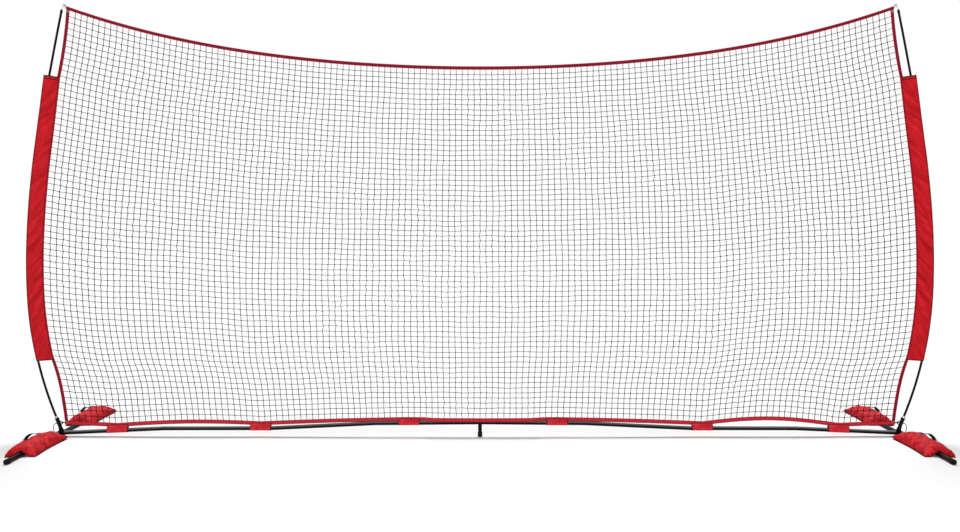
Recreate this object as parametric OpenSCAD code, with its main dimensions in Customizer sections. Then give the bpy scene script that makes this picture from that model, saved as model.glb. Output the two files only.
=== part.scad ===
// Free-standing sports barrier net, 6 m wide and 3 m high. Two fibreglass poles bow out from
// the ends of a steel base rail and stretch a knotted net between them. Four hinged legs with
// sandbags over them keep it upright. X runs along the rail, Y from front to back, Z up, and
// the origin is on the ground under the middle of the rail.

/* [Base rail] */
// Outside diameter of the rail tubes
rail_d = 28; // [24:0.5:32]
// Wall thickness of the rail tubes
rail_wall = 1.5; // [1:0.1:2]
// Spacing of the tube joints along the rail
rail_pitch = 745; // [700:5:800]
// Height of the rail's axis over the middle foot
centre_joint_z = 98; // [90:1:110]
// Height of the rail's axis at the first joint out from the middle
inner_joint_z = 92; // [80:1:98]
// Height of the rail's axis at the second joint out
middle_joint_z = 57; // [50:1:80]
// Height of the rail's axis at the third joint out
outer_joint_z = 56; // [45:1:60]
// Height of the rail's axis where it meets the end hubs
hub_joint_z = 24; // [22:0.5:26]
// Depth that each tube's reduced end goes into the next tube
spigot_depth = 55; // [30:1:80]

/* [Middle foot] */
// Diameter of the middle foot's post
foot_post_d = 27; // [20:0.2:27]
// Height of the rubber tip on the post
foot_tip_h = 30; // [20:1:40]
// Diameter of the rubber tip at the ground
foot_tip_d = 34; // [33:1:50]

/* [End hubs] */
// Distance of the leg pivots from the middle of the rail
pivot_x = 2984; // [2970:1:3000]
// Distance of each leg pivot in front of or behind the rail
pivot_y = 38; // [36:1:45]
// Thickness of the hub's two plates
plate_t = 3; // [2:0.5:4]
// Radius of the plates round the leg pivots
plate_ear_r = 19; // [16:1:22]
// Pivot bolt diameter
bolt_d = 8; // [6:1:10]
// Outside diameter of the pole socket
socket_d = 25; // [24:1:32]
// Bore of the pole socket
socket_bore = 21.2; // [21:0.1:22]
// Length of the straight top part of the socket
socket_straight = 52; // [40:1:60]
// Bend radius of the socket's lower part
socket_bend_r = 90; // [60:1:120]

/* [Poles] */
// Distance of the socket's mouth from the middle of the rail
mouth_x = 3004; // [2995:1:3015]
// Height of the socket's mouth
mouth_z = 129; // [120:1:140]
// Outward lean of the pole where it leaves the socket, in degrees
pole_lean = 22.7; // [18:0.1:24]
// Diameter of the fibreglass rod
pole_d = 15; // [12:0.5:16]
// Length of the lowest pole section above the socket
lower_len = 950; // [900:5:1000]
// Angle through which the net pulls the lowest section back, in degrees
lower_bow = 20.6; // [18:0.1:22]
// Length of the middle section
middle_len = 1000; // [950:5:1050]
// Bow of the middle section, in degrees
middle_bow = 11.3; // [8:0.1:12]
// Length of the top section
upper_len = 995; // [950:5:1050]
// Bow of the top section, in degrees
upper_bow = 2; // [1.5:0.1:5]
// Depth of the pole's straight foot inside the socket
pole_tail = 40; // [30:1:40]
// Length of the steel ferrule that joins two sections
ferrule_len = 120; // [80:5:160]

/* [Net] */
// Height of the net's upper corners, inside the edge binding
net_top_z = 3022; // [2900:1:3060]
// Half the net's width at its upper corners
net_top_x = 2914; // [2880:1:2920]
// Sag of the upper edge at mid-span
net_sag = 420; // [200:1:500]
// Height of the net's lower corners, inside the edge binding
net_bottom_z = 107; // [100:1:120]
// Half the net's width at its lower corners
net_bottom_x = 2923; // [2910:1:2930]
// Width of the edge binding
binding_w = 22; // [15:1:30]
// Thickness of the edge binding
binding_t = 3; // [2:0.5:4]
// Thickness of the net's strands
strand_d = 3; // [2:0.5:4]
// Number of gaps across the net
net_cols = 22; // [18:1:24]
// Number of gaps up the net
net_rows = 11; // [11:1:12]

/* [Pole sleeves] */
// Distance along the pole from the socket to the sleeve's lower hem
sleeve_start = 430; // [400:5:500]
// Distance along the pole from the socket to the sleeve's upper hem
sleeve_end = 2460; // [2400:5:2500]
// Radius of the sleeve's fabric round the pole
sleeve_r = 10.5; // [10.3:0.1:14]
// Distance from the pole's axis to the net inside the sleeve's seam
net_offset = 113; // [100:1:130]
// How much closer to the pole the net is drawn at the sleeve's upper hem
hem_draw = 35; // [20:1:40]
// How far the sleeve stands off outside the pole at its upper hem
hem_flare = 25; // [0:1:26]
// Thickness of the sleeve's fabric
sleeve_t = 0.9; // [0.6:0.1:1.2]

/* [Straps] */
// Width of the hook-and-loop straps along the rail
strap_w = 150; // [100:1:170]
// Thickness of the strap fabric
strap_t = 1.8; // [1.2:0.1:2.5]

/* [Legs] */
// Diameter of the leg tubes
leg_d = 27; // [22:0.5:27]
// Length of a leg from its pivot to its tip
leg_len = 630; // [500:5:680]
// Turn of the open legs from square to the rail, inwards in front and outwards behind
leg_splay = 3.6; // [0:0.1:6]
// Diameter of the rubber end caps
leg_cap_d = 34; // [30:1:34]
// Length of the end caps
leg_cap_len = 42; // [25:1:60]

/* [Sandbags] */
// Length of a sandbag along its leg
bag_len = 455; // [350:5:480]
// Width of a sandbag across its leg
bag_w = 206; // [160:1:230]
// Height of a filled sandbag
bag_h = 66; // [60:1:80]
// Gap between the leg pivot and the sandbag's inner end
bag_gap = 26; // [24:1:50]
// How much further out along their legs the rear sandbags lie
rear_bag_shift = 210; // [0:5:215]
// Half the width of the tunnel for the leg, at the ground
tunnel_half_w = 60; // [56:1:66]
// Height of the tunnel's ridge over the leg
tunnel_h = 38; // [38:0.5:40]
// Width of the webbing handle
handle_w = 25; // [15:1:30]
// Thickness of the webbing handle
handle_t = 2.5; // [2:0.5:4]
// Length of the handle between its sewn ends
handle_span = 180; // [120:5:190]
// Height of the handle's loop over its ends
handle_rise = 40; // [36:1:50]

/* [Cords] */
// Diameter of the elastic corner loops
elastic_d = 5; // [4:0.5:6]
// Diameter of the tether cord at each hub
tether_d = 4.5; // [4.1:0.1:5]

/* [Hidden] */

// Round parts are true curves, and long bows need the finest steps.
$fn = 64;
bow_fn = 256;

STEEL = [0.06, 0.06, 0.07];
ROD = [0.03, 0.03, 0.035];
BRIGHT = [0.62, 0.63, 0.65];
RUBBER = [0.05, 0.05, 0.05];
RED = [0.80, 0.10, 0.13];
DARK_RED = [0.50, 0.05, 0.11];
TWINE = [0.08, 0.08, 0.09];
ELASTIC = [0.04, 0.04, 0.045];

// ---- Rail layout -------------------------------------------------------------------------
rail_bore = rail_d - 2 * rail_wall;
joint_z = [centre_joint_z, inner_joint_z, middle_joint_z, outer_joint_z, hub_joint_z];
last_joint = len(joint_z) - 1;
end_gap = 0.4;
plug_len = 14;
spigot_d = rail_bore - 0.4;
spigot_bore = spigot_d - 4;
tee_half = 18;
tee_clear = 0.4;

function joint(k) = [k * rail_pitch, joint_z[k]];
function mix(a, b, t) = a + (b - a) * t;
// Height of the rail's axis at a distance x from the middle, on either side.
function rail_axis_z(x) =
    let (k = min(floor(abs(x) / rail_pitch), last_joint - 1))
    mix(joint_z[k], joint_z[k + 1], abs(x) / rail_pitch - k);

// ---- Hub layout --------------------------------------------------------------------------
leg_axis_z = leg_cap_d / 2;
plate_gap_z = leg_axis_z + leg_d / 2 + 0.5;
hub_top_z = plate_gap_z + plate_t;
hub_face_x = pivot_x - plate_ear_r - 17;
neck_half = 15;
socket_foot = [mouth_x - socket_straight * sin(pole_lean),
               mouth_z - socket_straight * cos(pole_lean)];
core_x = socket_foot[0] - socket_bend_r * (1 - cos(pole_lean));
core_z = socket_foot[1] - socket_bend_r * sin(pole_lean);
hub_eye = [mouth_x - 33, mouth_z - 33];
hub_eye_r = 10;
eye_wire_d = 5;
bolt_clear = 0.3;
nut_h = 7;
nut_af = 13;

// ---- Pole bow: three arcs that meet tangentially -----------------------------------------
section_len = [lower_len, middle_len, upper_len];
section_bow = [lower_bow, middle_bow, upper_bow];
function section_r(i) = section_len[i] / section_bow[i] * 180 / PI;
function section_lean(i) = i == 0 ? pole_lean : section_lean(i - 1) - section_bow[i - 1];
function section_base(i) = i == 0 ? [mouth_x, mouth_z] : arc_point(i - 1, section_bow[i - 1], 0);
function section_centre(i) =
    section_base(i) + section_r(i) * [-cos(section_lean(i)), sin(section_lean(i))];
// Point on section i after it has turned by a degrees, off to the outside by off.
function arc_point(i, a, off) =
    let (lean = section_lean(i) - a)
    section_centre(i) + (section_r(i) + off) * [cos(lean), -sin(lean)];
// Outline of the bow at height z, for a line off to the outside of the pole by off.
function bow_x(z, off) =
    let (i = z < arc_point(0, section_bow[0], off)[1] ? 0
           : z < arc_point(1, section_bow[1], off)[1] ? 1 : 2,
         c = section_centre(i), r = section_r(i) + off)
    c[0] + sqrt(r * r - (z - c[1]) * (z - c[1]));
upper_start = lower_len + middle_len;
tail_bow = pole_tail / lower_len * lower_bow;
sleeve_low_bow = sleeve_start / lower_len * lower_bow;
sleeve_high_bow = (sleeve_end - upper_start) / upper_len * upper_bow;
pole_tip = arc_point(2, upper_bow, 0);
tip_lean = section_lean(2) - upper_bow;
ferrule_d = 18;
rod_clear = 0.5;
base_ferrule_d = 20.2;
base_ferrule_top = 14;

// ---- Net outline -------------------------------------------------------------------------
// The upper edge hangs in a curve, and its two terms weigh the flat middle and the steep ends.
sag_square = 0.79;
sag_fourth = 0.21;
function net_upper_z(x) =
    let (t = x / net_top_x)
    net_top_z - net_sag * (1 - sag_square * t * t - sag_fourth * pow(t, 4));
// Beyond the sleeve's hems each side edge runs free to its corner in a slack curve that leaves
// the corner at a given slope and meets the sleeve's seam.
seam_low_z = arc_point(0, sleeve_low_bow, -net_offset)[1];
seam_high_z = arc_point(2, sleeve_high_bow, hem_draw - net_offset)[1];
seam_mid_z = (seam_low_z + seam_high_z) / 2;
slope_low = 0.138;
slope_high = 0.068;
// Share of the upper hem's draw and flare at height z: none up to the middle of the seam.
function hem_pull(z) = pow(max(0, z - seam_mid_z) / (seam_high_z - seam_mid_z), 2);
function seam_line_x(z) = bow_x(z, hem_draw * hem_pull(z) - net_offset);
function slack(x0, slope, d, d_end, x_end, power) =
    x0 + slope * d + (x_end - x0 - slope * d_end) * pow(d / d_end, power);
function net_side_x(z) =
    z > seam_high_z ? slack(net_top_x, slope_high, net_top_z - z,
                            net_top_z - seam_high_z, seam_line_x(seam_high_z), 2)
    : z < seam_low_z ? slack(net_bottom_x, slope_low, z - net_bottom_z,
                             seam_low_z - net_bottom_z, seam_line_x(seam_low_z), 3)
    : seam_line_x(z);
// The lower edge is tied down at the straps and rises between them.
strap_x = [-2571, -1556, -504, 547, 1577, 2543];
tie_x = [-net_bottom_x, strap_x[0], strap_x[1], strap_x[2], strap_x[3], strap_x[4],
         strap_x[5], net_bottom_x];
tie_over_rail = [38, 35, 28, 28, 35, 38];
tie_z = [net_bottom_z, for (i = [0:5]) rail_axis_z(strap_x[i]) + tie_over_rail[i] + binding_w / 2,
         net_bottom_z];
span_rise = [0, 18, 4, 2, 4, 40, 0];
function span_of(x, i = 0) = i >= 6 || x < tie_x[i + 1] ? i : span_of(x, i + 1);
function net_lower_z(x) =
    let (i = span_of(x), t = (x - tie_x[i]) / (tie_x[i + 1] - tie_x[i]))
    mix(tie_z[i], tie_z[i + 1], t) + span_rise[i] * sin(180 * t);

function upper_edge(u) = let (x = mix(-net_top_x, net_top_x, u)) [x, net_upper_z(x)];
function lower_edge(u) = let (x = mix(-net_bottom_x, net_bottom_x, u)) [x, net_lower_z(x)];
function side_edge(s, v) =
    let (z = mix(net_bottom_z, net_top_z, v)) [s * net_side_x(z), z];
// The net between its four edges: u runs from left to right, v from bottom to top.
function net_point(u, v) =
    mix(lower_edge(u), upper_edge(u), v) + mix(side_edge(-1, v), side_edge(1, v), u)
    - mix(mix(lower_edge(0), lower_edge(1), u), mix(upper_edge(0), upper_edge(1), u), v);
edge_steps = 44;
rope_border = 6;

// ---- Cord routes -------------------------------------------------------------------------
// Route of the right hub's tether, from the socket's outer side down to the hub's top plate.
TETHER = [[3005, 0, 92], [3010, 0, 92], [3015, -3, 90], [3019, -8, 83], [3019, -14, 73],
          [3016, -20, 63], [3012, -25, 54], [3007, -30, 47], [3003, -33, 41], [3002, -34, 37.5],
          [3002, -34, 34.3]];
tether_sides = 8;

// ==== Helpers =============================================================================
// Puts the children's z axis on the line from p to q in the XZ plane.
module along(p, q) {
    translate([p[0], 0, p[1]])
        rotate([0, atan2(q[0] - p[0], q[1] - p[1]), 0])
            children();
}

module tube(d, bore, h) {
    difference() {
        cylinder(d = d, h = h);
        translate([0, 0, -1]) cylinder(d = bore, h = h + 2);
    }
}

// Mirrors a right-hand part to the left side when side is -1.
module on_side(side) {
    if (side > 0) children();
    else mirror([1, 0, 0]) children();
}

// Places a part drawn along a leg, from its pivot outwards, on one of the four legs.
module on_leg(side, front) {
    on_side(side)
        if (front) leg_place(leg_splay) children();
        else mirror([0, 1, 0]) leg_place(-leg_splay) children();
}

module leg_place(splay) {
    translate([pivot_x, -pivot_y, 0])
        rotate([0, 0, -90 - splay])
            children();
}

// Draws a sandbag's parts along its leg, further out on the rear legs.
module on_bag(side, front) {
    on_leg(side, front) translate([front ? 0 : rear_bag_shift, 0, 0]) children();
}

// Revolves a profile drawn round the pole's axis along section i, from turn a to turn b.
module bow_sweep(i, a, b) {
    c = section_centre(i);
    translate([c[0], 0, c[1]])
        rotate([90, 0, 0])
            rotate([0, 0, a - section_lean(i)])
                rotate_extrude(angle = b - a, $fn = bow_fn)
                    translate([section_r(i), 0])
                        children();
}

module ring(r, wire) {
    rotate([90, 0, 0]) rotate_extrude() translate([r, 0]) circle(d = wire);
}

// A tube of n sides swept along a list of points, closed at both ends.
function unit(v) = v / norm(v);
function route_dir(p, i) = unit(p[min(i + 1, len(p) - 1)] - p[max(i - 1, 0)]);
function route_ring(p, i, r, n) =
    let (d = route_dir(p, i), side = unit(cross([0, 1, 0.2], d)), up = cross(d, side))
    [for (k = [0:n - 1]) p[i] + r * (cos(360 * k / n) * side + sin(360 * k / n) * up)];
module swept_cord(p, d, n) {
    m = len(p);
    last = (m - 1) * n;
    points = [for (i = [0:m - 1]) each route_ring(p, i, d / 2, n)];
    walls = [for (i = [0:m - 2], k = [0:n - 1], half = [0, 1])
        let (a = i * n + k, b = i * n + (k + 1) % n)
        half == 0 ? [a, b, b + n] : [a, b + n, a + n]];
    caps = concat([for (k = [1:n - 2]) [0, k + 1, k]],
                  [for (k = [1:n - 2]) [last, last + k, last + k + 1]]);
    polyhedron(points = points, faces = concat(walls, caps));
}

// ==== Base rail ===========================================================================
// Tube k on one side, counted from the middle. Its outer end closes in a plug, and a reduced
// sleeve set in the plug enters the next tube in line with that tube.
module rail(side, k) {
    p = joint(k - 1);
    q = joint(k);
    dir = unit(q - p);
    start = k == 1 ? tee_half + tee_clear : end_gap;
    hub_cut = (q[0] - hub_face_x) / dir[0] + end_gap;
    stop = norm(q - p) - (k == last_joint ? hub_cut : end_gap);
    bore_stop = k == last_joint ? stop + 1 : stop - plug_len;
    color(STEEL) on_side(side) difference() {
        union() {
            along(p, q) translate([0, 0, start]) cylinder(d = rail_d, h = stop - start);
            if (k < last_joint) along(q, joint(k + 1)) translate([0, 0, -plug_len / 2])
                cylinder(d = spigot_d, h = spigot_depth + plug_len / 2);
        }
        along(p, q) translate([0, 0, start - 1]) cylinder(d = rail_bore, h = bore_stop - start + 1);
        if (k < last_joint) along(q, joint(k + 1)) translate([0, 0, -plug_len - 2])
            cylinder(d = spigot_bore, h = spigot_depth + plug_len + 3);
    }
}

// ==== Middle foot =========================================================================
module centre_tee() {
    post_top = centre_joint_z - rail_d / 2 + 4;
    core_gap = 6;
    spigot_reach = tee_half + spigot_depth;
    color(STEEL) difference() {
        union() {
            translate([-tee_half, 0, centre_joint_z]) rotate([0, 90, 0])
                cylinder(d = rail_d, h = 2 * tee_half);
            for (side = [-1, 1]) on_side(side) along(joint(0), joint(1))
                translate([0, 0, core_gap]) cylinder(d = spigot_d, h = spigot_reach - core_gap);
            translate([0, 0, 6]) cylinder(d = foot_post_d, h = post_top - 6);
            // Weld bead round the top of the post.
            translate([0, 0, centre_joint_z - rail_d / 2 - 3])
                cylinder(d1 = foot_post_d + 1, d2 = foot_post_d + 2, h = 6);
        }
        translate([-spigot_reach - 1, 0, centre_joint_z]) rotate([0, 90, 0])
            cylinder(d = spigot_bore - 2, h = 2 * spigot_reach + 2);
        translate([0, 0, 5]) cylinder(d = foot_post_d - 2 * rail_wall, h = post_top - 24);
    }
}

module centre_foot_tip() {
    color(RUBBER) difference() {
        union() {
            cylinder(d1 = foot_tip_d, d2 = foot_tip_d - 2, h = 8);
            translate([0, 0, 8]) cylinder(d1 = foot_tip_d - 2, d2 = foot_post_d + 5, h = 4);
            translate([0, 0, 12]) cylinder(d = foot_post_d + 5, h = foot_tip_h - 12);
        }
        translate([0, 0, 6]) cylinder(d = foot_post_d, h = foot_tip_h);
    }
}

// ==== End hubs ============================================================================
module hub_plate(z) {
    translate([0, 0, z]) linear_extrude(plate_t) {
        for (s = [-1, 1]) translate([pivot_x, s * pivot_y]) circle(r = plate_ear_r);
        translate([pivot_x - plate_ear_r, -pivot_y]) square([2 * plate_ear_r, 2 * pivot_y]);
        translate([hub_face_x, -neck_half]) square([pivot_x - hub_face_x, 2 * neck_half]);
    }
}

// Steel weldment: two plates that hold the legs between them, a spigot for the rail and a bent
// socket for the pole, with an eye for the net's lower corner.
module hub(side) {
    stub_end = [hub_face_x - spigot_depth, rail_axis_z(hub_face_x - spigot_depth)];
    stub_len = norm(joint(last_joint) - stub_end);
    color(STEEL) on_side(side) difference() {
        union() {
            hub_plate(0);
            hub_plate(plate_gap_z);
            translate([core_x, 0, plate_t - 0.5]) cylinder(d = socket_d, h = core_z - plate_t + 0.5);
            socket_bend();
            along(socket_foot, [mouth_x, mouth_z]) cylinder(d = socket_d, h = socket_straight);
            along(socket_foot, [mouth_x, mouth_z]) translate([0, 0, socket_straight - 10])
                cylinder(d = socket_d + 3, h = 10);
            along(stub_end, joint(last_joint)) cylinder(d = spigot_d, h = stub_len);
            hub_gusset();
            translate([hub_eye[0], 0, hub_eye[1]]) ring(hub_eye_r, eye_wire_d);
            tether_lug();
        }
        along(socket_foot, [mouth_x, mouth_z]) translate([0, 0, -pole_tail + socket_straight - 2])
            cylinder(d = socket_bore, h = socket_straight + 2);
        along(stub_end, joint(last_joint)) translate([0, 0, -1])
            cylinder(d = spigot_bore, h = spigot_depth - 9);
        for (s = [-1, 1]) translate([pivot_x, s * pivot_y, -1])
            cylinder(d = bolt_d + 0.2, h = hub_top_z + 2);
    }
}

// The bend is drawn a little slimmer than the straight parts and laps into both.
module socket_bend() {
    lap = 2;
    translate([core_x + socket_bend_r, 0, core_z])
        rotate([90, 0, 0])
            rotate([0, 0, 180 - pole_lean - lap])
                rotate_extrude(angle = pole_lean + 2 * lap, $fn = bow_fn)
                    translate([socket_bend_r, 0])
                        circle(d = socket_d - 0.8);
}

// Web that braces the socket against the rail spigot.
module hub_gusset() {
    web_t = 5;
    low = hub_top_z - 1;
    translate([0, web_t / 2, 0]) rotate([90, 0, 0])
        linear_extrude(web_t)
            polygon([[hub_face_x + 2, low], [core_x - 4, low], [core_x - 4, low + 30],
                     [core_x - 14, low + 30]]);
}

module tether_lug() {
    translate([TETHER[0][0] - 12.3, 0, TETHER[0][2]]) rotate([0, 90, 0])
        cylinder(d = 9, h = 12);
}

// Pins riveted flush under the hub, each with a lock nut on top.
module pivot_bolts(side) {
    color(BRIGHT) on_side(side)
        for (s = [-1, 1]) translate([pivot_x, s * pivot_y, 0]) {
            cylinder(d = bolt_d, h = hub_top_z + nut_h + 2.5);
            translate([0, 0, hub_top_z]) cylinder(d = 2 * bolt_d, h = 1.4);
            translate([0, 0, hub_top_z + 1.4]) cylinder(d = nut_af / cos(30), h = nut_h - 1.4, $fn = 6);
        }
}

// ==== Poles ===============================================================================
module pole(side, i) {
    color(ROD) on_side(side) {
        bow_sweep(i, i == 0 ? -tail_bow : 0, section_bow[i] - (i == 2 ? tip_trim : 0))
            circle(d = pole_d);
        if (i == 2) pole_cap();
    }
}

// Moulded cap pushed over the pole's upper end.
tip_trim = 8 / upper_len * upper_bow;
cap_wall = 1;
cap_len = 26;
cap_edge = 4;
module pole_cap() {
    r = pole_d / 2 + cap_wall;
    translate([pole_tip[0], 0, pole_tip[1]]) rotate([0, tip_lean, 0]) translate([0, 0, -cap_len])
        rotate_extrude() union() {
            square([r, cap_len - cap_edge]);
            square([r - cap_edge, cap_len]);
            translate([r - cap_edge, cap_len - cap_edge]) intersection() {
                circle(r = cap_edge);
                square(cap_edge);
            }
        }
}

// Steel tubes that join the sections, and the bright one that stands in the hub's socket.
module pole_ferrules(side) {
    color(BRIGHT) on_side(side) {
        for (i = [0, 1]) {
            half = ferrule_len / 2 / section_len[i] * section_bow[i];
            bow_sweep(i, section_bow[i] - half, section_bow[i] + half) ferrule_profile(ferrule_d);
        }
        bow_sweep(0, -tail_bow, base_ferrule_top / lower_len * lower_bow)
            ferrule_profile(base_ferrule_d);
    }
}

module ferrule_profile(d) {
    difference() {
        circle(d = d);
        circle(d = pole_d + 2 * rod_clear);
    }
}

// Eye hook on the pole's tip, which the net's upper corner hangs from.
eye_r = 7;
hook_wire_d = 5.5;
hook_eye = pole_tip + [-19, 34.5];
module tip_hook(side) {
    up = [sin(tip_lean), cos(tip_lean)];
    foot = pole_tip + 5 * up;
    neck = hook_eye + [6, -3];
    color(BRIGHT) on_side(side) {
        along(pole_tip, pole_tip + up) cylinder(d = 8, h = 8);
        along(foot, neck) cylinder(d = hook_wire_d, h = norm(neck - foot));
        translate([hook_eye[0], 0, hook_eye[1]]) ring(eye_r, hook_wire_d);
    }
}

// ==== Net and its bindings ================================================================
// Knotted net as one flat lattice that fills the curved outline.
module net() {
    outline = concat(
        [for (i = [0:edge_steps - 1]) net_point(i / edge_steps, 0)],
        [for (j = [0:edge_steps - 1]) net_point(1, j / edge_steps)],
        [for (i = [edge_steps:-1:1]) net_point(i / edge_steps, 1)],
        [for (j = [edge_steps:-1:1]) net_point(0, j / edge_steps)]);
    du = strand_d / 2 / (2 * net_bottom_x);
    dv = strand_d / 2 / (net_top_z - net_bottom_z);
    bu = rope_border / (2 * net_bottom_x);
    bv = rope_border / (net_top_z - net_bottom_z);
    gaps = [for (i = [0:net_cols - 1], j = [0:net_rows - 1])
        let (u0 = i / net_cols + (i == 0 ? bu : du),
             u1 = (i + 1) / net_cols - (i == net_cols - 1 ? bu : du),
             v0 = j / net_rows + (j == 0 ? bv : dv),
             v1 = (j + 1) / net_rows - (j == net_rows - 1 ? bv : dv))
        [net_point(u0, v0), net_point(u1, v0), net_point(u1, v1), net_point(u0, v1)]];
    first = len(outline);
    color(TWINE) translate([0, strand_d / 2, 0]) rotate([90, 0, 0])
        linear_extrude(strand_d)
            polygon(points = concat(outline, [for (g = gaps) each g]),
                    paths = concat([[for (k = [0:first - 1]) k]],
                                   [for (g = [0:len(gaps) - 1]) [for (k = [0:3]) first + 4 * g + k]]));
}

module upright_plate(points, t) {
    translate([0, t / 2, 0]) rotate([90, 0, 0]) linear_extrude(t) polygon(points);
}

// Webbing sewn over each edge of the net. The top and bottom run past the side ones.
module binding_top() {
    reach = [binding_w, 0];
    drop = binding_w * 0.36;
    lift = [0, binding_w];
    inner = [for (i = [0:edge_steps]) net_point(i / edge_steps, 1)];
    left = inner[0] - reach + [0, drop];
    right = inner[edge_steps] + reach + [0, drop];
    color(DARK_RED) upright_plate(concat([left], inner, [right, right + lift],
        [for (i = [edge_steps:-1:0]) inner[i] + lift], [left + lift]), binding_t);
}

module binding_bottom() {
    reach = [binding_w, 0];
    lift = [0, binding_w];
    inner = [for (i = [0:edge_steps]) net_point(i / edge_steps, 0)];
    left = inner[0] - reach;
    right = inner[edge_steps] + reach;
    color(RED) difference() {
        upright_plate(concat([left - lift], [for (p = inner) p - lift], [right - lift, right],
            [for (i = [edge_steps:-1:0]) inner[i]], [left]), binding_t);
        for (p = [lower_grommet(-1), lower_grommet(1)]) grommet_hole(p);
    }
}

module binding_side(side) {
    reach = [binding_w, 0];
    inner = [for (j = [0:edge_steps]) net_point(1, j / edge_steps)];
    top = inner[edge_steps] + reach + [0, binding_w * 0.36];
    color(DARK_RED) on_side(side) difference() {
        upright_plate(concat([inner[0] + reach], [for (j = [1:edge_steps - 1]) inner[j] + reach],
            [top], [for (j = [edge_steps:-1:0]) inner[j]]), binding_t);
        grommet_hole(upper_grommet());
    }
}

// Holes in the corners that the elastic loops pass through.
grommet_d = 10;
function lower_grommet(side) = [side * (net_bottom_x + 11), net_bottom_z - 11];
function upper_grommet() = [net_top_x + 11, net_top_z - 16];
module grommet_hole(p) {
    translate([p[0], binding_t, p[1]]) rotate([90, 0, 0]) cylinder(d = grommet_d, h = 2 * binding_t);
}

// ==== Pole sleeves ========================================================================
// Teardrop pocket: round the pole at one side, narrowing to the seam at the net's binding. Each
// ring of points goes round the pocket, as [distance outside the pole, distance in Y].
seam_gap = 0.5;
stitch_w = 8;
pocket_steps = 8;
flare_fill = 0.1;
function pocket_ring(r, seam, half, flare) =
    let (touch = acos((r - half) / (flare - seam)))
    concat([[seam, half]],
           [for (k = [0:pocket_steps]) let (a = mix(180 - touch, touch - 180, k / pocket_steps))
               [flare, 0] + r * [cos(a), sin(a)]],
           [[seam, -half]]);
// The sleeve's own course along the pole, as [section, turn].
hem_steps = [7, 13, 7];
function course(i, a, b) = [for (k = [0:hem_steps[i] - 1]) [i, mix(a, b, k / hem_steps[i])]];
sleeve_course = concat(course(0, sleeve_low_bow, lower_bow), course(1, 0, middle_bow),
                       course(2, 0, sleeve_high_bow), [[2, sleeve_high_bow]]);
// Share of the hem's draw where the seam crosses the course, found in two steps.
function pull_at(at, steps = 2) = steps == 0 ? 0
    : hem_pull(arc_point(at[0], at[1], hem_draw * pull_at(at, steps - 1) - net_offset)[1]);
// Ring of the pocket's outside, or of its inside when the fabric's thickness is taken off.
function laid_ring(at, t) =
    let (pull = pull_at(at), flare = hem_flare * pull, seam = binding_w + seam_gap - net_offset
             + hem_draw * pull + (t > 0 ? stitch_w : 0),
         ring = pocket_ring(sleeve_r + flare_fill * flare - t, seam, (binding_t - t) / 2, flare))
    [for (p = ring) let (q = arc_point(at[0], at[1], p[0])) [q[0], p[1], q[1]]];

module sleeve(side) {
    n = pocket_steps + 3;
    m = len(sleeve_course);
    shell = n * m;
    points = concat([for (at = sleeve_course) each laid_ring(at, 0)],
                    [for (at = sleeve_course) each laid_ring(at, sleeve_t)]);
    walls = [for (j = [0:m - 2], k = [0:n - 1], half = [0, 1])
        let (a = j * n + k, b = j * n + (k + 1) % n)
        half == 0 ? [a, b, b + n] : [a, b + n, a + n]];
    lining = [for (f = walls) [for (c = [2, 1, 0]) f[c] + shell]];
    hems = [for (k = [0:n - 1], half = [0, 1])
        let (a = k, b = (k + 1) % n, c = a + shell - n, d = b + shell - n)
        each half == 0 ? [[a, a + shell, b + shell], [c, d + shell, c + shell]]
                       : [[a, b + shell, b], [c, d, d + shell]]];
    color(RED) on_side(side)
        polyhedron(points = points, faces = concat(walls, lining, hems));
}

// ==== Straps ==============================================================================
// Cross-section of a strap: round the rail below, closing on the binding above.
module strap_outline(r, half, top) {
    neck_z = 8;
    neck_y = sqrt(r * r - neck_z * neck_z);
    pinch = top - binding_w;
    circle(r = r);
    polygon([[-neck_y, neck_z], [-half, pinch], [-half, top], [half, top], [half, pinch],
             [neck_y, neck_z], [0, 0]]);
}

module strap(i) {
    x = strap_x[i];
    top = tie_over_rail[i] + binding_w / 2;
    slope = atan((rail_axis_z(x + 1) - rail_axis_z(x - 1)) / 2);
    inner_r = rail_d / 2 + 0.6;
    slot = binding_t / 2 + 0.2;
    translate([x, 0, rail_axis_z(x)]) rotate([0, -slope, 0]) translate([-strap_w / 2, 0, 0])
        rotate([90, 0, 90]) linear_extrude(strap_w) difference() {
            strap_outline(inner_r + strap_t, slot + strap_t, top);
            strap_outline(inner_r, slot, top + 1);
        }
}

module straps(first) {
    color(RED) for (i = [first:first + 2]) strap(i);
}

// ==== Elastic loops and tethers ===========================================================
// Stretched elastic loop that passes through the middle of two eyes, its two strands either
// side of what it joins.
module elastic_loop(p, q) {
    half = binding_t / 2 + elastic_d / 2 + 1.4;
    inset = half * unit(q - p);
    span = norm(q - p) - 2 * half;
    along(p + inset, q - inset) {
        for (s = [-1, 1]) translate([0, s * half, 0]) cylinder(d = elastic_d, h = span);
        rotate([0, 90, 0]) rotate([0, 0, -90]) rotate_extrude(angle = 180)
            translate([half, 0]) circle(d = elastic_d);
        translate([0, 0, span]) rotate([0, 90, 0]) rotate([0, 0, 90]) rotate_extrude(angle = 180)
            translate([half, 0]) circle(d = elastic_d);
    }
}

module corner_loops(side) {
    color(ELASTIC) on_side(side) {
        elastic_loop(hub_eye, lower_grommet(1));
        elastic_loop(hook_eye, upper_grommet());
    }
}

module tether(side) {
    color(ELASTIC) on_side(side) swept_cord(TETHER, tether_d, tether_sides);
}

// ==== Legs ================================================================================
module leg(side, front) {
    heel = 16;
    color(STEEL) on_leg(side, front) difference() {
        translate([-heel, 0, leg_axis_z]) rotate([0, 90, 0])
            tube(leg_d, leg_d - 2 * rail_wall, leg_len + heel - 4);
        cylinder(d = bolt_d + 2 * bolt_clear, h = 2 * leg_axis_z);
    }
}

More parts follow.
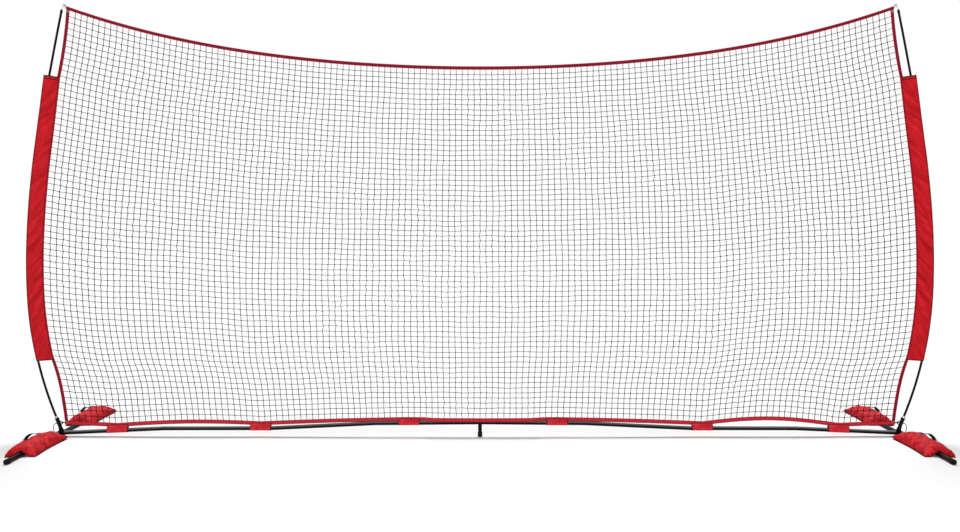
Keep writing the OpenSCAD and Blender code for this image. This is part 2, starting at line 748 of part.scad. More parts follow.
module leg_cap(side, front) {
    rim_r = 5;
    color(RUBBER) on_leg(side, front) translate([leg_len, 0, leg_axis_z]) rotate([0, -90, 0])
        rotate_extrude() difference() {
            union() {
                translate([0, rim_r]) square([leg_cap_d / 2, leg_cap_len - rim_r]);
                square([leg_cap_d / 2 - rim_r, rim_r]);
                translate([leg_cap_d / 2 - rim_r, rim_r]) intersection() {
                    circle(r = rim_r);
                    translate([0, -rim_r]) square(rim_r);
                }
            }
            translate([0, 4]) square([leg_d / 2, leg_cap_len]);
        }
}

// ==== Sandbags ============================================================================
// Upper half of a rounded-square curve, half a wide and h high, of power n on its first side
// and m on its second.
function hump(a, h, n, m, steps) = [for (k = [0:steps])
    let (t = 180 * k / steps, c = cos(t), s = sin(t), power = 2 / (c > 0 ? n : m))
    [a * sign(c) * pow(abs(c), power), h * pow(abs(s), power)]];
bag_mid = bag_gap + bag_len / 2;
bag_steps = 28;
bag_side_power = 4;
bag_outer_power = 3.4;
bag_inner_power = 1.9;

// Filled fabric bag that lies over its leg like a saddle.
module bag_solid() {
    difference() {
        intersection() {
            translate([bag_gap - 1, 0, 0]) rotate([90, 0, 90]) linear_extrude(bag_len + 2)
                polygon(hump(bag_w / 2, bag_h, bag_outer_power, bag_inner_power, bag_steps));
            translate([bag_mid, bag_w / 2, 0]) rotate([90, 0, 0]) linear_extrude(bag_w)
                polygon(hump(bag_len / 2, bag_h + 1, bag_side_power, bag_side_power, bag_steps));
        }
        rotate([90, 0, 90]) linear_extrude(bag_gap + bag_len + 2)
            polygon([[-tunnel_half_w, -0.01], [tunnel_half_w, -0.01], [0, tunnel_h]]);
    }
}

module sandbag(side, front) {
    color(RED) on_bag(side, front) bag_solid();
}

// Webbing loop sewn to the sandbag's outer shoulder, nearer one end. All four bags lie the same
// way round, so it is towards the hub on the front ones and away from it on the rear ones.
handle_inset = 146;
handle_y = 88;
handle_base_z = 36;
module bag_handle(side, front) {
    r = (handle_span * handle_span / 4 + handle_rise * handle_rise) / (2 * handle_rise);
    mid = bag_gap + (front ? handle_inset : bag_len - handle_inset);
    color(ELASTIC) on_bag(side, front) difference() {
        translate([mid, handle_y + handle_w / 2, handle_base_z + handle_rise - r])
            rotate([90, 0, 0]) linear_extrude(handle_w) intersection() {
                difference() {
                    circle(r = r);
                    circle(r = r - handle_t);
                }
                translate([-handle_span / 2, 0]) square([handle_span, r]);
            }
        bag_solid();
    }
}

hub(-1);  // hub_left
hub(1);  // hub_right
pivot_bolts(-1);  // pivot_bolts_left
pivot_bolts(1);  // pivot_bolts_right
rail(-1, 1);  // rail_left_1
rail(-1, 2);  // rail_left_2
rail(-1, 3);  // rail_left_3
rail(-1, 4);  // rail_left_4
rail(1, 1);  // rail_right_1
rail(1, 2);  // rail_right_2
rail(1, 3);  // rail_right_3
rail(1, 4);  // rail_right_4
centre_tee();
centre_foot_tip();
pole(-1, 0);  // pole_lower_left
pole(-1, 1);  // pole_middle_left
pole(-1, 2);  // pole_upper_left
pole(1, 0);  // pole_lower_right
pole(1, 1);  // pole_middle_right
pole(1, 2);  // pole_upper_right
pole_ferrules(-1);  // pole_ferrules_left
pole_ferrules(1);  // pole_ferrules_right
tip_hook(-1);  // tip_hook_left
tip_hook(1);  // tip_hook_right
net();
binding_top();
binding_bottom();
binding_side(-1);  // binding_left
binding_side(1);  // binding_right
sleeve(-1);  // sleeve_left
sleeve(1);  // sleeve_right
straps(0);  // straps_left
straps(3);  // straps_right
corner_loops(-1);  // corner_loops_left
corner_loops(1);  // corner_loops_right
tether(-1);  // tether_left
tether(1);  // tether_right
leg(-1, true);  // leg_front_left
leg(1, true);  // leg_front_right
leg(-1, false);  // leg_rear_left
leg(1, false);  // leg_rear_right
leg_cap(-1, true);  // leg_cap_front_left
leg_cap(1, true);  // leg_cap_front_right
leg_cap(-1, false);  // leg_cap_rear_left
leg_cap(1, false);  // leg_cap_rear_right
sandbag(-1, true);  // sandbag_front_left
sandbag(1, true);  // sandbag_front_right
sandbag(-1, false);  // sandbag_rear_left
sandbag(1, false);  // sandbag_rear_right
bag_handle(-1, true);  // bag_handle_front_left
bag_handle(1, true);  // bag_handle_front_right
bag_handle(-1, false);  // bag_handle_rear_left
bag_handle(1, false);  // bag_handle_rear_right
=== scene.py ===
# %% [markdown]
# # A free-standing sports net
# The frame of this object comes from CAD: steel rail, hubs, legs and bowed poles, all at their
# real places. This script dresses it. Hard parts keep their CAD shape and get a finish. Cloth,
# twine and webbing are modelled here, in metres and in the same frame, with +Y to the back.

import math

import bmesh
import bpy
import numpy as np
from mathutils import Matrix, Vector


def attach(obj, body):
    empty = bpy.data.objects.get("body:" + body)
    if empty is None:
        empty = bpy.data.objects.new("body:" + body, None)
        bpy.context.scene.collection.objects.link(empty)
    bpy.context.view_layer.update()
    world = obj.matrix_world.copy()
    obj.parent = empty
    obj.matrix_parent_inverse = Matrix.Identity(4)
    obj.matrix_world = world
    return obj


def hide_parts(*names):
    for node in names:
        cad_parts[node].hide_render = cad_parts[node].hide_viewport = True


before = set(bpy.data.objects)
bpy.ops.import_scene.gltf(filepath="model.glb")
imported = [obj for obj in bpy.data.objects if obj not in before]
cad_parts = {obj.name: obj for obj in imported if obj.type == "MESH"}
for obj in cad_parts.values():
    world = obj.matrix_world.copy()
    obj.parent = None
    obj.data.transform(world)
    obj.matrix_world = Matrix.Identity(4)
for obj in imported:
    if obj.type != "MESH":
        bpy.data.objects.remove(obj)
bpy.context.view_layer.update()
MM = 0.001
SIDES = (("left", -1), ("right", 1))

# %% [markdown]
# ## Small helpers
# A mesh is built in a bmesh and then becomes an object that sits at the origin, so that its
# place is in its points.

# %% Helpers for objects and meshes
def in_scene(name, data):
    """A new object that shows the data."""
    made = bpy.data.objects.new(name, data)
    bpy.context.scene.collection.objects.link(made)
    return made


def mesh_of(name, bm):
    """The bmesh as a mesh. The bmesh is used up."""
    mesh = bpy.data.meshes.new(name)
    bm.to_mesh(mesh)
    bm.free()
    return mesh


def placed(name, mesh, material, body="frame", replaces=()):
    """The mesh as a smooth named object on a body of the frame."""
    mesh.polygons.foreach_set("use_smooth", [True] * len(mesh.polygons))
    mesh.materials.clear()
    mesh.materials.append(material)
    piece = in_scene(name, mesh)
    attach(piece, body)
    if replaces:
        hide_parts(*replaces)
    print(f"{name}: {len(mesh.polygons)} faces on {body}")
    return piece


def finished(name, bm, material, **how):
    return placed(name, mesh_of(name, bm), material, **how)


def thicken(piece, thickness):
    """Gives a single skin of cloth its thickness, half on each side."""
    wall = piece.modifiers.new("thickness", "SOLIDIFY")
    wall.thickness = thickness
    wall.offset = 0


def turn_all(bm, degrees, axis, centre=(0, 0, 0)):
    turn = Matrix.Rotation(math.radians(degrees), 3, axis)
    bmesh.ops.rotate(bm, verts=bm.verts, cent=centre, matrix=turn)


def stretch_all(bm, x, y, z):
    bmesh.ops.scale(bm, verts=bm.verts, vec=(x, y, z))


def ripple(a, b=0.0):
    """Smooth uneven value between about -1 and 1."""
    return (math.sin(a + 1.7 * math.sin(0.37 * a + b)) + math.sin(0.61 * a - 2.1 * b + 1.1)) / 2


# %% [markdown]
# ## Camera
# The net is seen square from the front at about chest height. The camera stays level, so that
# the poles don't lean, and a small vertical shift puts the horizon a little above the middle.

# %% Camera
FOCAL_MM = 28
SENSOR_MM = 36
EYE = (0.0, -5.30, 1.428)
HORIZON_SHIFT = -31 / 960


def stand_camera():
    data = bpy.data.cameras.new("camera")
    data.lens = FOCAL_MM
    data.sensor_width = SENSOR_MM
    data.shift_y = HORIZON_SHIFT
    data.clip_end = 200
    camera = in_scene("camera", data)
    camera.location = EYE
    camera.rotation_euler = (math.radians(90), 0, 0)
    bpy.context.scene.camera = camera
    return camera


print("camera at", tuple(stand_camera().location))

# %% [markdown]
# ## Shader helpers
# Colours are written as the sRGB values a painter would pick, and one function turns them into
# the linear values that the renderer works with. Sizes of patterns are in millimetres. Each
# helper adds one node and gives back its output.

# %% Nodes
METRE_MM = 1000.0


def linear(code):
    """Linear RGBA of an sRGB hex colour."""
    channels = [int(code[i:i + 2], 16) / 255 for i in (1, 3, 5)]
    return tuple(c / 12.92 if c <= 0.04045 else ((c + 0.055) / 1.055) ** 2.4
                 for c in channels) + (1.0,)


def add(tree, kind, links=None, **settings):
    """Adds one shader node. links gives each input a value or another node's output."""
    made = tree.nodes.new(kind)
    for name, value in settings.items():
        setattr(made, name, value)
    for socket, value in (links or {}).items():
        if isinstance(value, bpy.types.NodeSocket):
            tree.links.new(value, made.inputs[socket])
        else:
            made.inputs[socket].default_value = value
    return made


def emptied(owner):
    """The node tree of a material or world, with nothing in it yet."""
    owner.use_nodes = True
    owner.node_tree.nodes.clear()
    return owner.node_tree


def new_material(name, **sockets):
    """A material with one Principled shader, whose sockets are given by name."""
    material = bpy.data.materials.new(name)
    tree = emptied(material)
    named = {socket.replace("_", " "): value for socket, value in sockets.items()}
    shader = add(tree, "ShaderNodeBsdfPrincipled", named)
    add(tree, "ShaderNodeOutputMaterial", {"Surface": shader.outputs[0]})
    print("material:", name)
    return material, tree, shader


def plug(tree, shader, colour, roughness, normal):
    for name, output in (("Base Color", colour), ("Roughness", roughness), ("Normal", normal)):
        tree.links.new(output, shader.inputs[name])


def on_object(tree, kind="Object"):
    return add(tree, "ShaderNodeTexCoord").outputs[kind]


def mapped(tree, where, sizes_mm=(METRE_MM,) * 3, turn=(0, 0, 0)):
    """The place in units of sizes_mm, or turned by degrees round each axis."""
    links = {"Vector": where, "Scale": tuple(METRE_MM / size for size in sizes_mm),
             "Rotation": tuple(math.radians(angle) for angle in turn)}
    return add(tree, "ShaderNodeMapping", links).outputs["Vector"]


def noise(tree, where, size_mm, detail=2.0, **sockets):
    """Clouds about size_mm across, from 0 to 1."""
    links = {"Vector": where, "Scale": METRE_MM / size_mm, "Detail": detail, **sockets}
    return add(tree, "ShaderNodeTexNoise", links).outputs["Fac"]


def wave(tree, where, size_mm, axis="X", **sockets):
    """Bands that come every size_mm along an axis, from 0 to 1."""
    links = {"Vector": where, "Scale": METRE_MM / size_mm * math.pi / 10, **sockets}
    return add(tree, "ShaderNodeTexWave", links, bands_direction=axis).outputs["Fac"]


def maths(tree, operation, *values):
    links = dict(enumerate(values))
    return add(tree, "ShaderNodeMath", links, operation=operation).outputs["Value"]


def ranged(tree, value, low, high, start=0.0, end=1.0):
    """The value's way from start to end, as a way from low to high."""
    return add(tree, "ShaderNodeMapRange", {"Value": value, "From Min": start, "From Max": end,
                                            "To Min": low, "To Max": high}).outputs["Result"]


def relief(tree, height, strength, depth_mm, **sockets):
    links = {"Height": height, "Strength": strength, "Distance": depth_mm * MM, **sockets}
    return add(tree, "ShaderNodeBump", links).outputs["Normal"]


def axes_of(tree, vector):
    return add(tree, "ShaderNodeSeparateXYZ", {"Vector": vector}).outputs


def blended(tree, factor, low, high):
    """A colour between two hex colours, by a factor from another node."""
    ramp = add(tree, "ShaderNodeValToRGB", {"Fac": factor})
    ramp.color_ramp.elements[0].color = linear(low)
    ramp.color_ramp.elements[1].color = linear(high)
    return ramp.outputs["Color"]


def covered(tree, factor, colour, cover):
    """A node's colour, covered by a hex colour where the factor is 1."""
    links = {0: factor, 6: colour, 7: linear(cover)}
    return add(tree, "ShaderNodeMix", links, data_type="RGBA").outputs[2]


# %% [markdown]
# ## Finishes for the hard parts
# The steel tubes are powder coated: a plastic skin baked on, black, with a faint orange-peel
# ripple about 2 mm across that breaks up the highlight. The rail's upper side carries a painted
# highlight: a lighter grey laid over the black where the tube faces up. The poles are pultruded
# fibreglass, whose glass strands leave fine streaks along the rod. Bolts, ferrules and hooks are
# zinc plated, a thin bright metal skin that is never quite even. Three of these differ only in
# sizes and colours, so one function makes them.

# %% Painted, plated and moulded surfaces
# How far a normal must point up for the painted highlight to begin and to be full.
HIGHLIGHT_FROM, HIGHLIGHT_FULL = 0.2, 0.75


def grained(name, clouds, grain, colours, roughness, depth, top_highlight=None, **sockets):
    """A surface with clouds in its tone and gloss and with a fine grain. clouds and grain are
    given to noise(), depth is the grain's strength and millimetres, and top_highlight is the
    colour of a painted highlight laid on the upper side."""
    material, tree, shader = new_material(name, **sockets)
    where = on_object(tree)
    cloud = noise(tree, where, **clouds)
    colour = blended(tree, cloud, *colours)
    if top_highlight:
        # Painted highlight: the sides that face up are coloured lighter, as if lit from above.
        upwards = axes_of(tree, on_object(tree, "Normal"))["Z"]
        colour = covered(tree, ranged(tree, upwards, 0, 1, HIGHLIGHT_FROM, HIGHLIGHT_FULL), colour, top_highlight)
    plug(tree, shader, colour, ranged(tree, cloud, *roughness),
         relief(tree, noise(tree, where, **grain), *depth))
    return material


POWDER_COAT = dict(
    clouds=dict(size_mm=60.0, detail=5.0, Roughness=0.6), grain=dict(size_mm=2.0, detail=1.0),
    colours=("#060608", "#0E0E11"), roughness=(0.32, 0.48), depth=(0.25, 0.1),
    IOR=1.5, Specular_IOR_Level=0.1)
STEEL = grained("powder_coated_steel", **POWDER_COAT)
# The rail's steel, with a painted highlight along its upper side.
HIGHLIT_STEEL = grained("powder_coated_steel_painted_highlight", top_highlight="#7C7C80", **POWDER_COAT)
ZINC = grained(
    "zinc_plated_steel", clouds=dict(size_mm=9.0, detail=4.0), grain=dict(size_mm=0.8),
    colours=("#9A9DA1", "#C6C8CB"), roughness=(0.25, 0.45), depth=(0.15, 0.05), Metallic=1.0)
RUBBER = grained(
    "moulded_rubber", clouds=dict(size_mm=25.0, detail=4.0), grain=dict(size_mm=1.5, detail=3.0),
    colours=("#0A0A0A", "#181817"), roughness=(0.6, 0.85), depth=(0.35, 0.15),
    IOR=1.52, Specular_IOR_Level=0.1)

# %% Pultruded fibreglass and braided elastic cord
STRAND_MM = 1.2
STRAND_RUN_MM = 180.0
BRAID_MM = 2.4


def pultruded_fibreglass():
    material, tree, shader = new_material(
        "pultruded_fibreglass", IOR=1.52, Specular_IOR_Level=0.06, Coat_Weight=0.02,
        Coat_Roughness=0.15)
    along_rod = mapped(tree, on_object(tree), (STRAND_MM, STRAND_MM, STRAND_RUN_MM))
    streaks = noise(tree, along_rod, METRE_MM, 3.0)
    plug(tree, shader, blended(tree, streaks, "#060607", "#101013"),
         ranged(tree, streaks, 0.24, 0.42), relief(tree, streaks, 0.2, 0.08))
    return material


def braided_elastic(name, dark, light):
    """Crossing diagonal bands stand for the braid, since the picks are too fine to show."""
    material, tree, shader = new_material(name, IOR=1.5, Specular_IOR_Level=0.1,
                                          Sheen_Weight=0.02)
    where = on_object(tree)
    picks = [wave(tree, mapped(tree, where, turn=(0, turn, 0)), BRAID_MM) for turn in (45, -45)]
    braid = maths(tree, "MULTIPLY", *picks)
    plug(tree, shader, blended(tree, braid, dark, light), ranged(tree, braid, 0.7, 0.9),
         relief(tree, braid, 0.6, 0.4))
    return material


ROD = pultruded_fibreglass()
ELASTIC = braided_elastic("braided_elastic_cord_black", "#08080A", "#18181B")
PALE_ELASTIC = braided_elastic("braided_elastic_cord_pale", "#B4B4B6", "#DCDCDD")

# %% Give each CAD part its finish
FINISH_BY_START = [("leg_cap", RUBBER), ("centre_foot_tip", RUBBER), ("pole_ferrules", ZINC),
                   ("pole", ROD), ("pivot_bolts", ZINC), ("tip_hook", ZINC),
                   ("corner_loops", ELASTIC), ("hub", STEEL), ("rail", HIGHLIT_STEEL),
                   ("centre_tee", STEEL), ("leg", STEEL)]
for name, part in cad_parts.items():
    for start, material in FINISH_BY_START:
        if name.startswith(start):
            part.data.materials.clear()
            part.data.materials.append(material)
            break
print("finished", len(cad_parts), "CAD parts")

# %% [markdown]
# ## Cords
# A thin cord hangs in an arc on the outer side of each hub, from the pole socket down to the
# hub's top plate. It is a free cord, so it follows the same points as in CAD. A circle is
# extruded from point to point, and each new ring is turned to face along the cord.

# %% Tether cords
TETHER_D = 4.5 * MM
TETHER = [(3004.4, 0, 92), (3010, 0, 92), (3015, -3, 90), (3019, -8, 83), (3019, -14, 73),
          (3016, -20, 63), (3012, -25, 54), (3007, -30, 47), (3003, -33, 41), (3002, -34, 37.5),
          (3002, -34, 34)]
CORD_SIDES = 12


def smoothed(points, rounds=2):
    """The same route with its corners cut, and its two ends kept."""
    for _ in range(rounds):
        cut = [points[0]]
        for a, b in zip(points, points[1:]):
            cut += [a.lerp(b, 0.25), a.lerp(b, 0.75)]
        points = cut + [points[-1]]
    return points


def tube_along(points, radius):
    """A circle extruded along the points, closed at both ends."""
    bm = bmesh.new()
    ring = bmesh.ops.create_circle(bm, segments=CORD_SIDES, radius=radius, cap_ends=True)["verts"]
    heading = Vector((0, 0, 1))
    for index, point in enumerate(points):
        behind, before = points[max(index - 1, 0)], points[min(index + 1, len(points) - 1)]
        ahead = (before - behind).normalized()
        centre = sum((v.co for v in ring), Vector()) / len(ring)
        if index:
            edges = [e for e in bm.edges if all(v in ring for v in e.verts)]
            drawn = bmesh.ops.extrude_edge_only(bm, edges=edges)["geom"]
            ring = [g for g in drawn if isinstance(g, bmesh.types.BMVert)]
        turn = heading.rotation_difference(ahead).to_matrix()
        bmesh.ops.rotate(bm, verts=ring, cent=centre, matrix=turn)
        bmesh.ops.translate(bm, verts=ring, vec=point - centre)
        heading = ahead
    bmesh.ops.contextual_create(bm, geom=ring)
    bmesh.ops.recalc_face_normals(bm, faces=bm.faces)
    return bm


def tether(side_name, side):
    route = smoothed([Vector((side * x, y, z)) * MM for x, y, z in TETHER])
    piece = finished("tether_cord_" + side_name, tube_along(route, TETHER_D / 2), ELASTIC,
                     replaces=["tether_" + side_name])


for side_name, side in SIDES:
    tether(side_name, side)

# %% [markdown]
# ## The line of the bow
# Each pole is three rods end to end, and the pull of the net bends them into three arcs that
# meet without a kink. The net's side edges and the sleeves follow those arcs, so their shape is
# worked out once here, in millimetres, from the rods' lengths and bends.

# %% Pole bow
MOUTH = (3004.0, 129.0)
LEAN = 22.7
ROD_LENGTHS = (950.0, 1000.0, 995.0)
ROD_BENDS = (20.6, 11.3, 2.0)


def leaning(degrees):
    """Direction outwards from a pole that leans by this much."""
    return np.array([math.cos(math.radians(degrees)), -math.sin(math.radians(degrees))])


def bow_arcs():
    """Each arc as its start along the pole, its lean there in degrees, radius and centre."""
    arcs, base, lean, start = [], np.array(MOUTH), LEAN, 0.0
    for length, bend in zip(ROD_LENGTHS, ROD_BENDS):
        radius = length / math.radians(bend)
        centre = base - radius * leaning(lean)
        arcs.append((start, lean, radius, centre))
        lean -= bend
        base = centre + radius * leaning(lean)
        start += length
    return arcs


ARCS = bow_arcs()


def on_bow(run, outside):
    """Point at a run along the pole from its socket, a distance outside its axis."""
    start, lean, radius, centre = [a for a in ARCS if a[0] <= max(run, 0)][-1]
    return centre + (radius + outside) * leaning(lean - math.degrees((run - start) / radius))


def bow_x(z, outside):
    """Distance from the middle to the bow at height z, for arrays."""
    joints = [arc[3][1] - (arc[2] + outside) * math.sin(math.radians(arc[1])) for arc in ARCS[1:]]
    x = np.zeros_like(z)
    for arc, low, high in zip(ARCS, (-np.inf, *joints), (*joints, np.inf)):
        inside = (z >= low) & (z < high)
        centre, radius = arc[3], arc[2] + outside
        reach = np.sqrt(np.maximum(radius ** 2 - (z - centre[1]) ** 2, 0))
        x = np.where(inside, centre[0] + reach, x)
    return x


print("pole tip at", np.round(on_bow(sum(ROD_LENGTHS), 0)))

# %% [markdown]
# ## The net's outline
# The net is a rectangle of knotted twine pulled out of square by its four edges. The top hangs
# in a curve between the pole tips, the sides lean with the poles, and the bottom is strapped
# down to the rail. Each line across is as wide as the sides are there, and its curve is blended
# from those of the bottom and the top, which is how a sewn panel would stretch.

# %% Net outline, in millimetres
NET_TOP = (2914.0, 3022.0)
NET_BOTTOM = (2923.0, 107.0)
NET_SAG = 420.0
SAG_SHAPE = (0.79, 0.21)
SEAM_INSET = 113.0
SLEEVE_RUN = (430.0, 2460.0)
HEM_DRAW = 35.0
HEM_FLARE = 25.0
TAPE_W = 22.0
RAIL_PITCH = 745.0
RAIL_HEIGHTS = (98.0, 92.0, 57.0, 56.0, 24.0)
STRAP_X = (-2571.0, -1556.0, -504.0, 547.0, 1577.0, 2543.0)
TIE_OVER_RAIL = (38.0, 35.0, 28.0, 28.0, 35.0, 38.0)
SPAN_RISE = (0.0, 18.0, 4.0, -4.0, 4.0, 40.0, 0.0)


def rail_height(x):
    return np.interp(np.abs(x), RAIL_PITCH * np.arange(len(RAIL_HEIGHTS)), RAIL_HEIGHTS)


TIES_X = (-NET_BOTTOM[0], *STRAP_X, NET_BOTTOM[0])
TIES_Z = (NET_BOTTOM[1], *(rail_height(x) + over + TAPE_W / 2
                           for x, over in zip(STRAP_X, TIE_OVER_RAIL)), NET_BOTTOM[1])


def top_height(u):
    t = 2 * u - 1
    return NET_TOP[1] - NET_SAG * (1 - SAG_SHAPE[0] * t ** 2 - SAG_SHAPE[1] * t ** 4)


def bottom_height(u):
    """Straight from tie to tie, with each span's rise or sag added."""
    x = (2 * u - 1) * NET_BOTTOM[0]
    z = np.interp(x, TIES_X, TIES_Z)
    for left, right, rise in zip(TIES_X, TIES_X[1:], SPAN_RISE):
        t = np.clip((x - left) / (right - left), 0, 1)
        z = z + rise * np.sin(math.pi * t)
    return z


SEAM_LOW = on_bow(SLEEVE_RUN[0], -SEAM_INSET)[1]
SEAM_HIGH = on_bow(SLEEVE_RUN[1], HEM_DRAW - SEAM_INSET)[1]
SEAM_MID = (SEAM_LOW + SEAM_HIGH) / 2
SLOPE_LOW = 0.138
SLOPE_HIGH = 0.068


def hem_pull(z):
    """Share of the upper hem's draw and flare at height z, none up to the middle of the seam."""
    return (np.maximum(0, z - SEAM_MID) / (SEAM_HIGH - SEAM_MID)) ** 2


def seam_line(z):
    return bow_x(z, HEM_DRAW * hem_pull(z) - SEAM_INSET)


def slack_line(corner_x, slope, d, d_end, x_end, power):
    """Free edge that leaves its corner at a slope and meets the sleeve's seam."""
    return corner_x + slope * d + (x_end - corner_x - slope * d_end) * (d / d_end) ** power


def half_width(v):
    z = NET_BOTTOM[1] + (NET_TOP[1] - NET_BOTTOM[1]) * v
    low_x, high_x = seam_line(np.array([SEAM_LOW, SEAM_HIGH]))
    x = seam_line(z)
    x = np.where(z > SEAM_HIGH, slack_line(NET_TOP[0], SLOPE_HIGH, NET_TOP[1] - z,
                                           NET_TOP[1] - SEAM_HIGH, high_x, 2), x)
    x = np.where(z < SEAM_LOW, slack_line(NET_BOTTOM[0], SLOPE_LOW, z - NET_BOTTOM[1],
                                          SEAM_LOW - NET_BOTTOM[1], low_x, 3), x)
    return x


def net_point(u, v):
    """Place on the net, as x and z, of fractions u across and v up, for arrays."""
    u, v = np.atleast_1d(u).astype(float), np.atleast_1d(v).astype(float)
    low = bottom_height(u)
    return (2 * u - 1) * half_width(v), low + (top_height(u) - low) * v


BELLY_MM = 20.0
BELLY_GAP = 90.0
BELLY_EASE = 110.0
BELLY_FADE = 40.0


def eased(t):
    """The way from 0 to 1 with a soft start and a soft end."""
    return t * t * (3 - 2 * t)


def belly(u, v):
    """How far the slack lower edge bellies forwards over the rail between the middle straps."""
    x = (2 * np.asarray(u) - 1) * NET_BOTTOM[0]
    from_strap = np.minimum(x - STRAP_X[2], STRAP_X[3] - x) - BELLY_GAP
    inside = np.clip(from_strap / BELLY_EASE, 0, 1)
    return -BELLY_MM * eased(inside) * np.exp(-np.asarray(v) * BELLY_FADE)


print("net corners", [tuple(np.round(np.ravel(net_point(u, v)))) for u in (0, 1) for v in (0, 1)])

# %% [markdown]
# ## Knotted twine
# The mesh is 44 mm square. The twine is drawn about 4 mm thick, coarser than it is, so that it
# shows from a step away, and it casts no shadow, since real twine is too thin to darken the
# floor. Each crossing is a knot about three twines wide. The twine leaves a knot on the other
# side from where it came in, so every line of the net steps a little at each knot. One short
# length of twine, or one knot, is made once, repeated by two Array modifiers, and then laid
# into the net's outline.

# %% Twine finish
TWINE_LAY_MM = 3.0
TWINE_FADE_MM = 150.0


def knotted_twine():
    material, tree, shader = new_material("knotted_polyethylene_twine", IOR=1.5,
                                          Specular_IOR_Level=0.08)
    where = on_object(tree)
    fibres = noise(tree, where, TWINE_LAY_MM, 3.0)
    tone = maths(tree, "MULTIPLY", fibres, noise(tree, where, TWINE_FADE_MM))
    plug(tree, shader, blended(tree, tone, "#050506", "#141416"),
         ranged(tree, fibres, 0.6, 0.9), relief(tree, fibres, 0.5, 0.3))
    return material


TWINE = knotted_twine()

# %% One length of twine and one knot
MESH_COLS = 138
MESH_ROWS = 69
MESH_MM = 43.0
TWINE_D = 4.2
TWINE_SIDES = 6
KNOT_R = 5.2
KNOT_SHAPE = (1.15, 0.8, 0.9)
KNOT_TILT = 35
END_GAP = 0.02


def twine_length(upright):
    """Twine from one knot to the next, a mesh long, in units of one mesh."""
    bm = bmesh.new()
    bmesh.ops.create_circle(bm, segments=TWINE_SIDES, radius=TWINE_D / 2 / MESH_MM)
    if not upright:
        turn_all(bm, 90, "Y")
    run = Vector((0, 0, 1)) if upright else Vector((1, 0, 0))
    bmesh.ops.translate(bm, verts=bm.verts, vec=run * END_GAP)
    drawn = bmesh.ops.extrude_edge_only(bm, edges=bm.edges[:])["geom"]
    bmesh.ops.translate(bm, verts=[g for g in drawn if isinstance(g, bmesh.types.BMVert)],
                        vec=run * (1 - 2 * END_GAP))
    bmesh.ops.recalc_face_normals(bm, faces=bm.faces)
    return bm


def knot():
    bm = bmesh.new()
    bmesh.ops.create_icosphere(bm, subdivisions=1, radius=KNOT_R / MESH_MM)
    stretch_all(bm, *KNOT_SHAPE)
    turn_all(bm, KNOT_TILT, "Y")
    return bm


# %% How uneven the hand-tied meshes are
# Each wave is (millimetres, turns across, turns up, phase), with turns as radians over the net.
STRAY_X = ((2.0, 61, 23, 0.0), (1.5, -91, 37, 1.3), (1.0, 40, 173, 0.0))
STRAY_Z = ((2.0, 47, -31, 0.7), (1.5, 97, 29, 0.0), (1.0, 149, -60, 0.0))
LEAN_WAVES = ((0.5, 17, 5, 0.0), (0.35, -8, 29, 0.0))
LEAN_MM = 5.5
KNOT_SLIP_MM = 2.6


def waves(rows, u, v):
    return sum(size * np.sin(across * u + up * v + phase) for size, across, up, phase in rows)


def to_edge(x, y, width, height):
    """Distance to the nearest edge of a field of this size, for arrays."""
    return np.minimum(np.minimum(x, width - x), np.minimum(y, height - y))


def uneven(u, v):
    """How far the meshes stray from even ones, in millimetres, none at the edges."""
    held = np.clip(12 * to_edge(u, v, 1, 1), 0, 1)
    y = 4.0 * np.sin(9 * u + 1.0) * np.sin(7 * v) + 2.0 * np.sin(31 * u - 17 * v)
    return held * waves(STRAY_X, u, v), held * y, held * waves(STRAY_Z, u, v)


def toss(column, row, a, b, spin):
    """A value from -1 to 1 that jumps from knot to knot, and is the same on each run."""
    spun = np.sin(a * column + b * row) * spin
    return 2 * (spun - np.floor(spun)) - 1


def knot_slip(column, row):
    """How far each knot has slipped along and across its line. It comes and goes in patches,
    and it changes from knot to knot, which is what makes the lines of the net zigzag."""
    patch = 0.5 + 0.5 * np.sin(0.11 * column + 1.9 * np.sin(0.13 * row) + 0.07 * row)
    alternate = np.where((column + row) % 2 == 0, 1.0, -1.0)
    along = 0.6 * alternate + 0.7 * toss(column, row, 12.9898, 78.233, 43758.5453)
    across = 0.3 * alternate + 0.6 * toss(column, row, 39.346, 11.135, 24634.6345)
    return KNOT_SLIP_MM * patch * along, KNOT_SLIP_MM * patch * across


def lean(u, v):
    """Twine leaves a knot on the other side from where it came in, so it leans between knots."""
    return LEAN_MM * (np.tanh(5 * (u - 0.47)) + waves(LEAN_WAVES, u, v))


# %% Repeat it and lay it in the outline
def points_of(mesh):
    co = np.empty(len(mesh.vertices) * 3)
    mesh.vertices.foreach_get("co", co)
    return co.reshape(-1, 3)


def evaluated(piece):
    """The object as its modifiers leave it."""
    return piece.evaluated_get(bpy.context.evaluated_depsgraph_get())


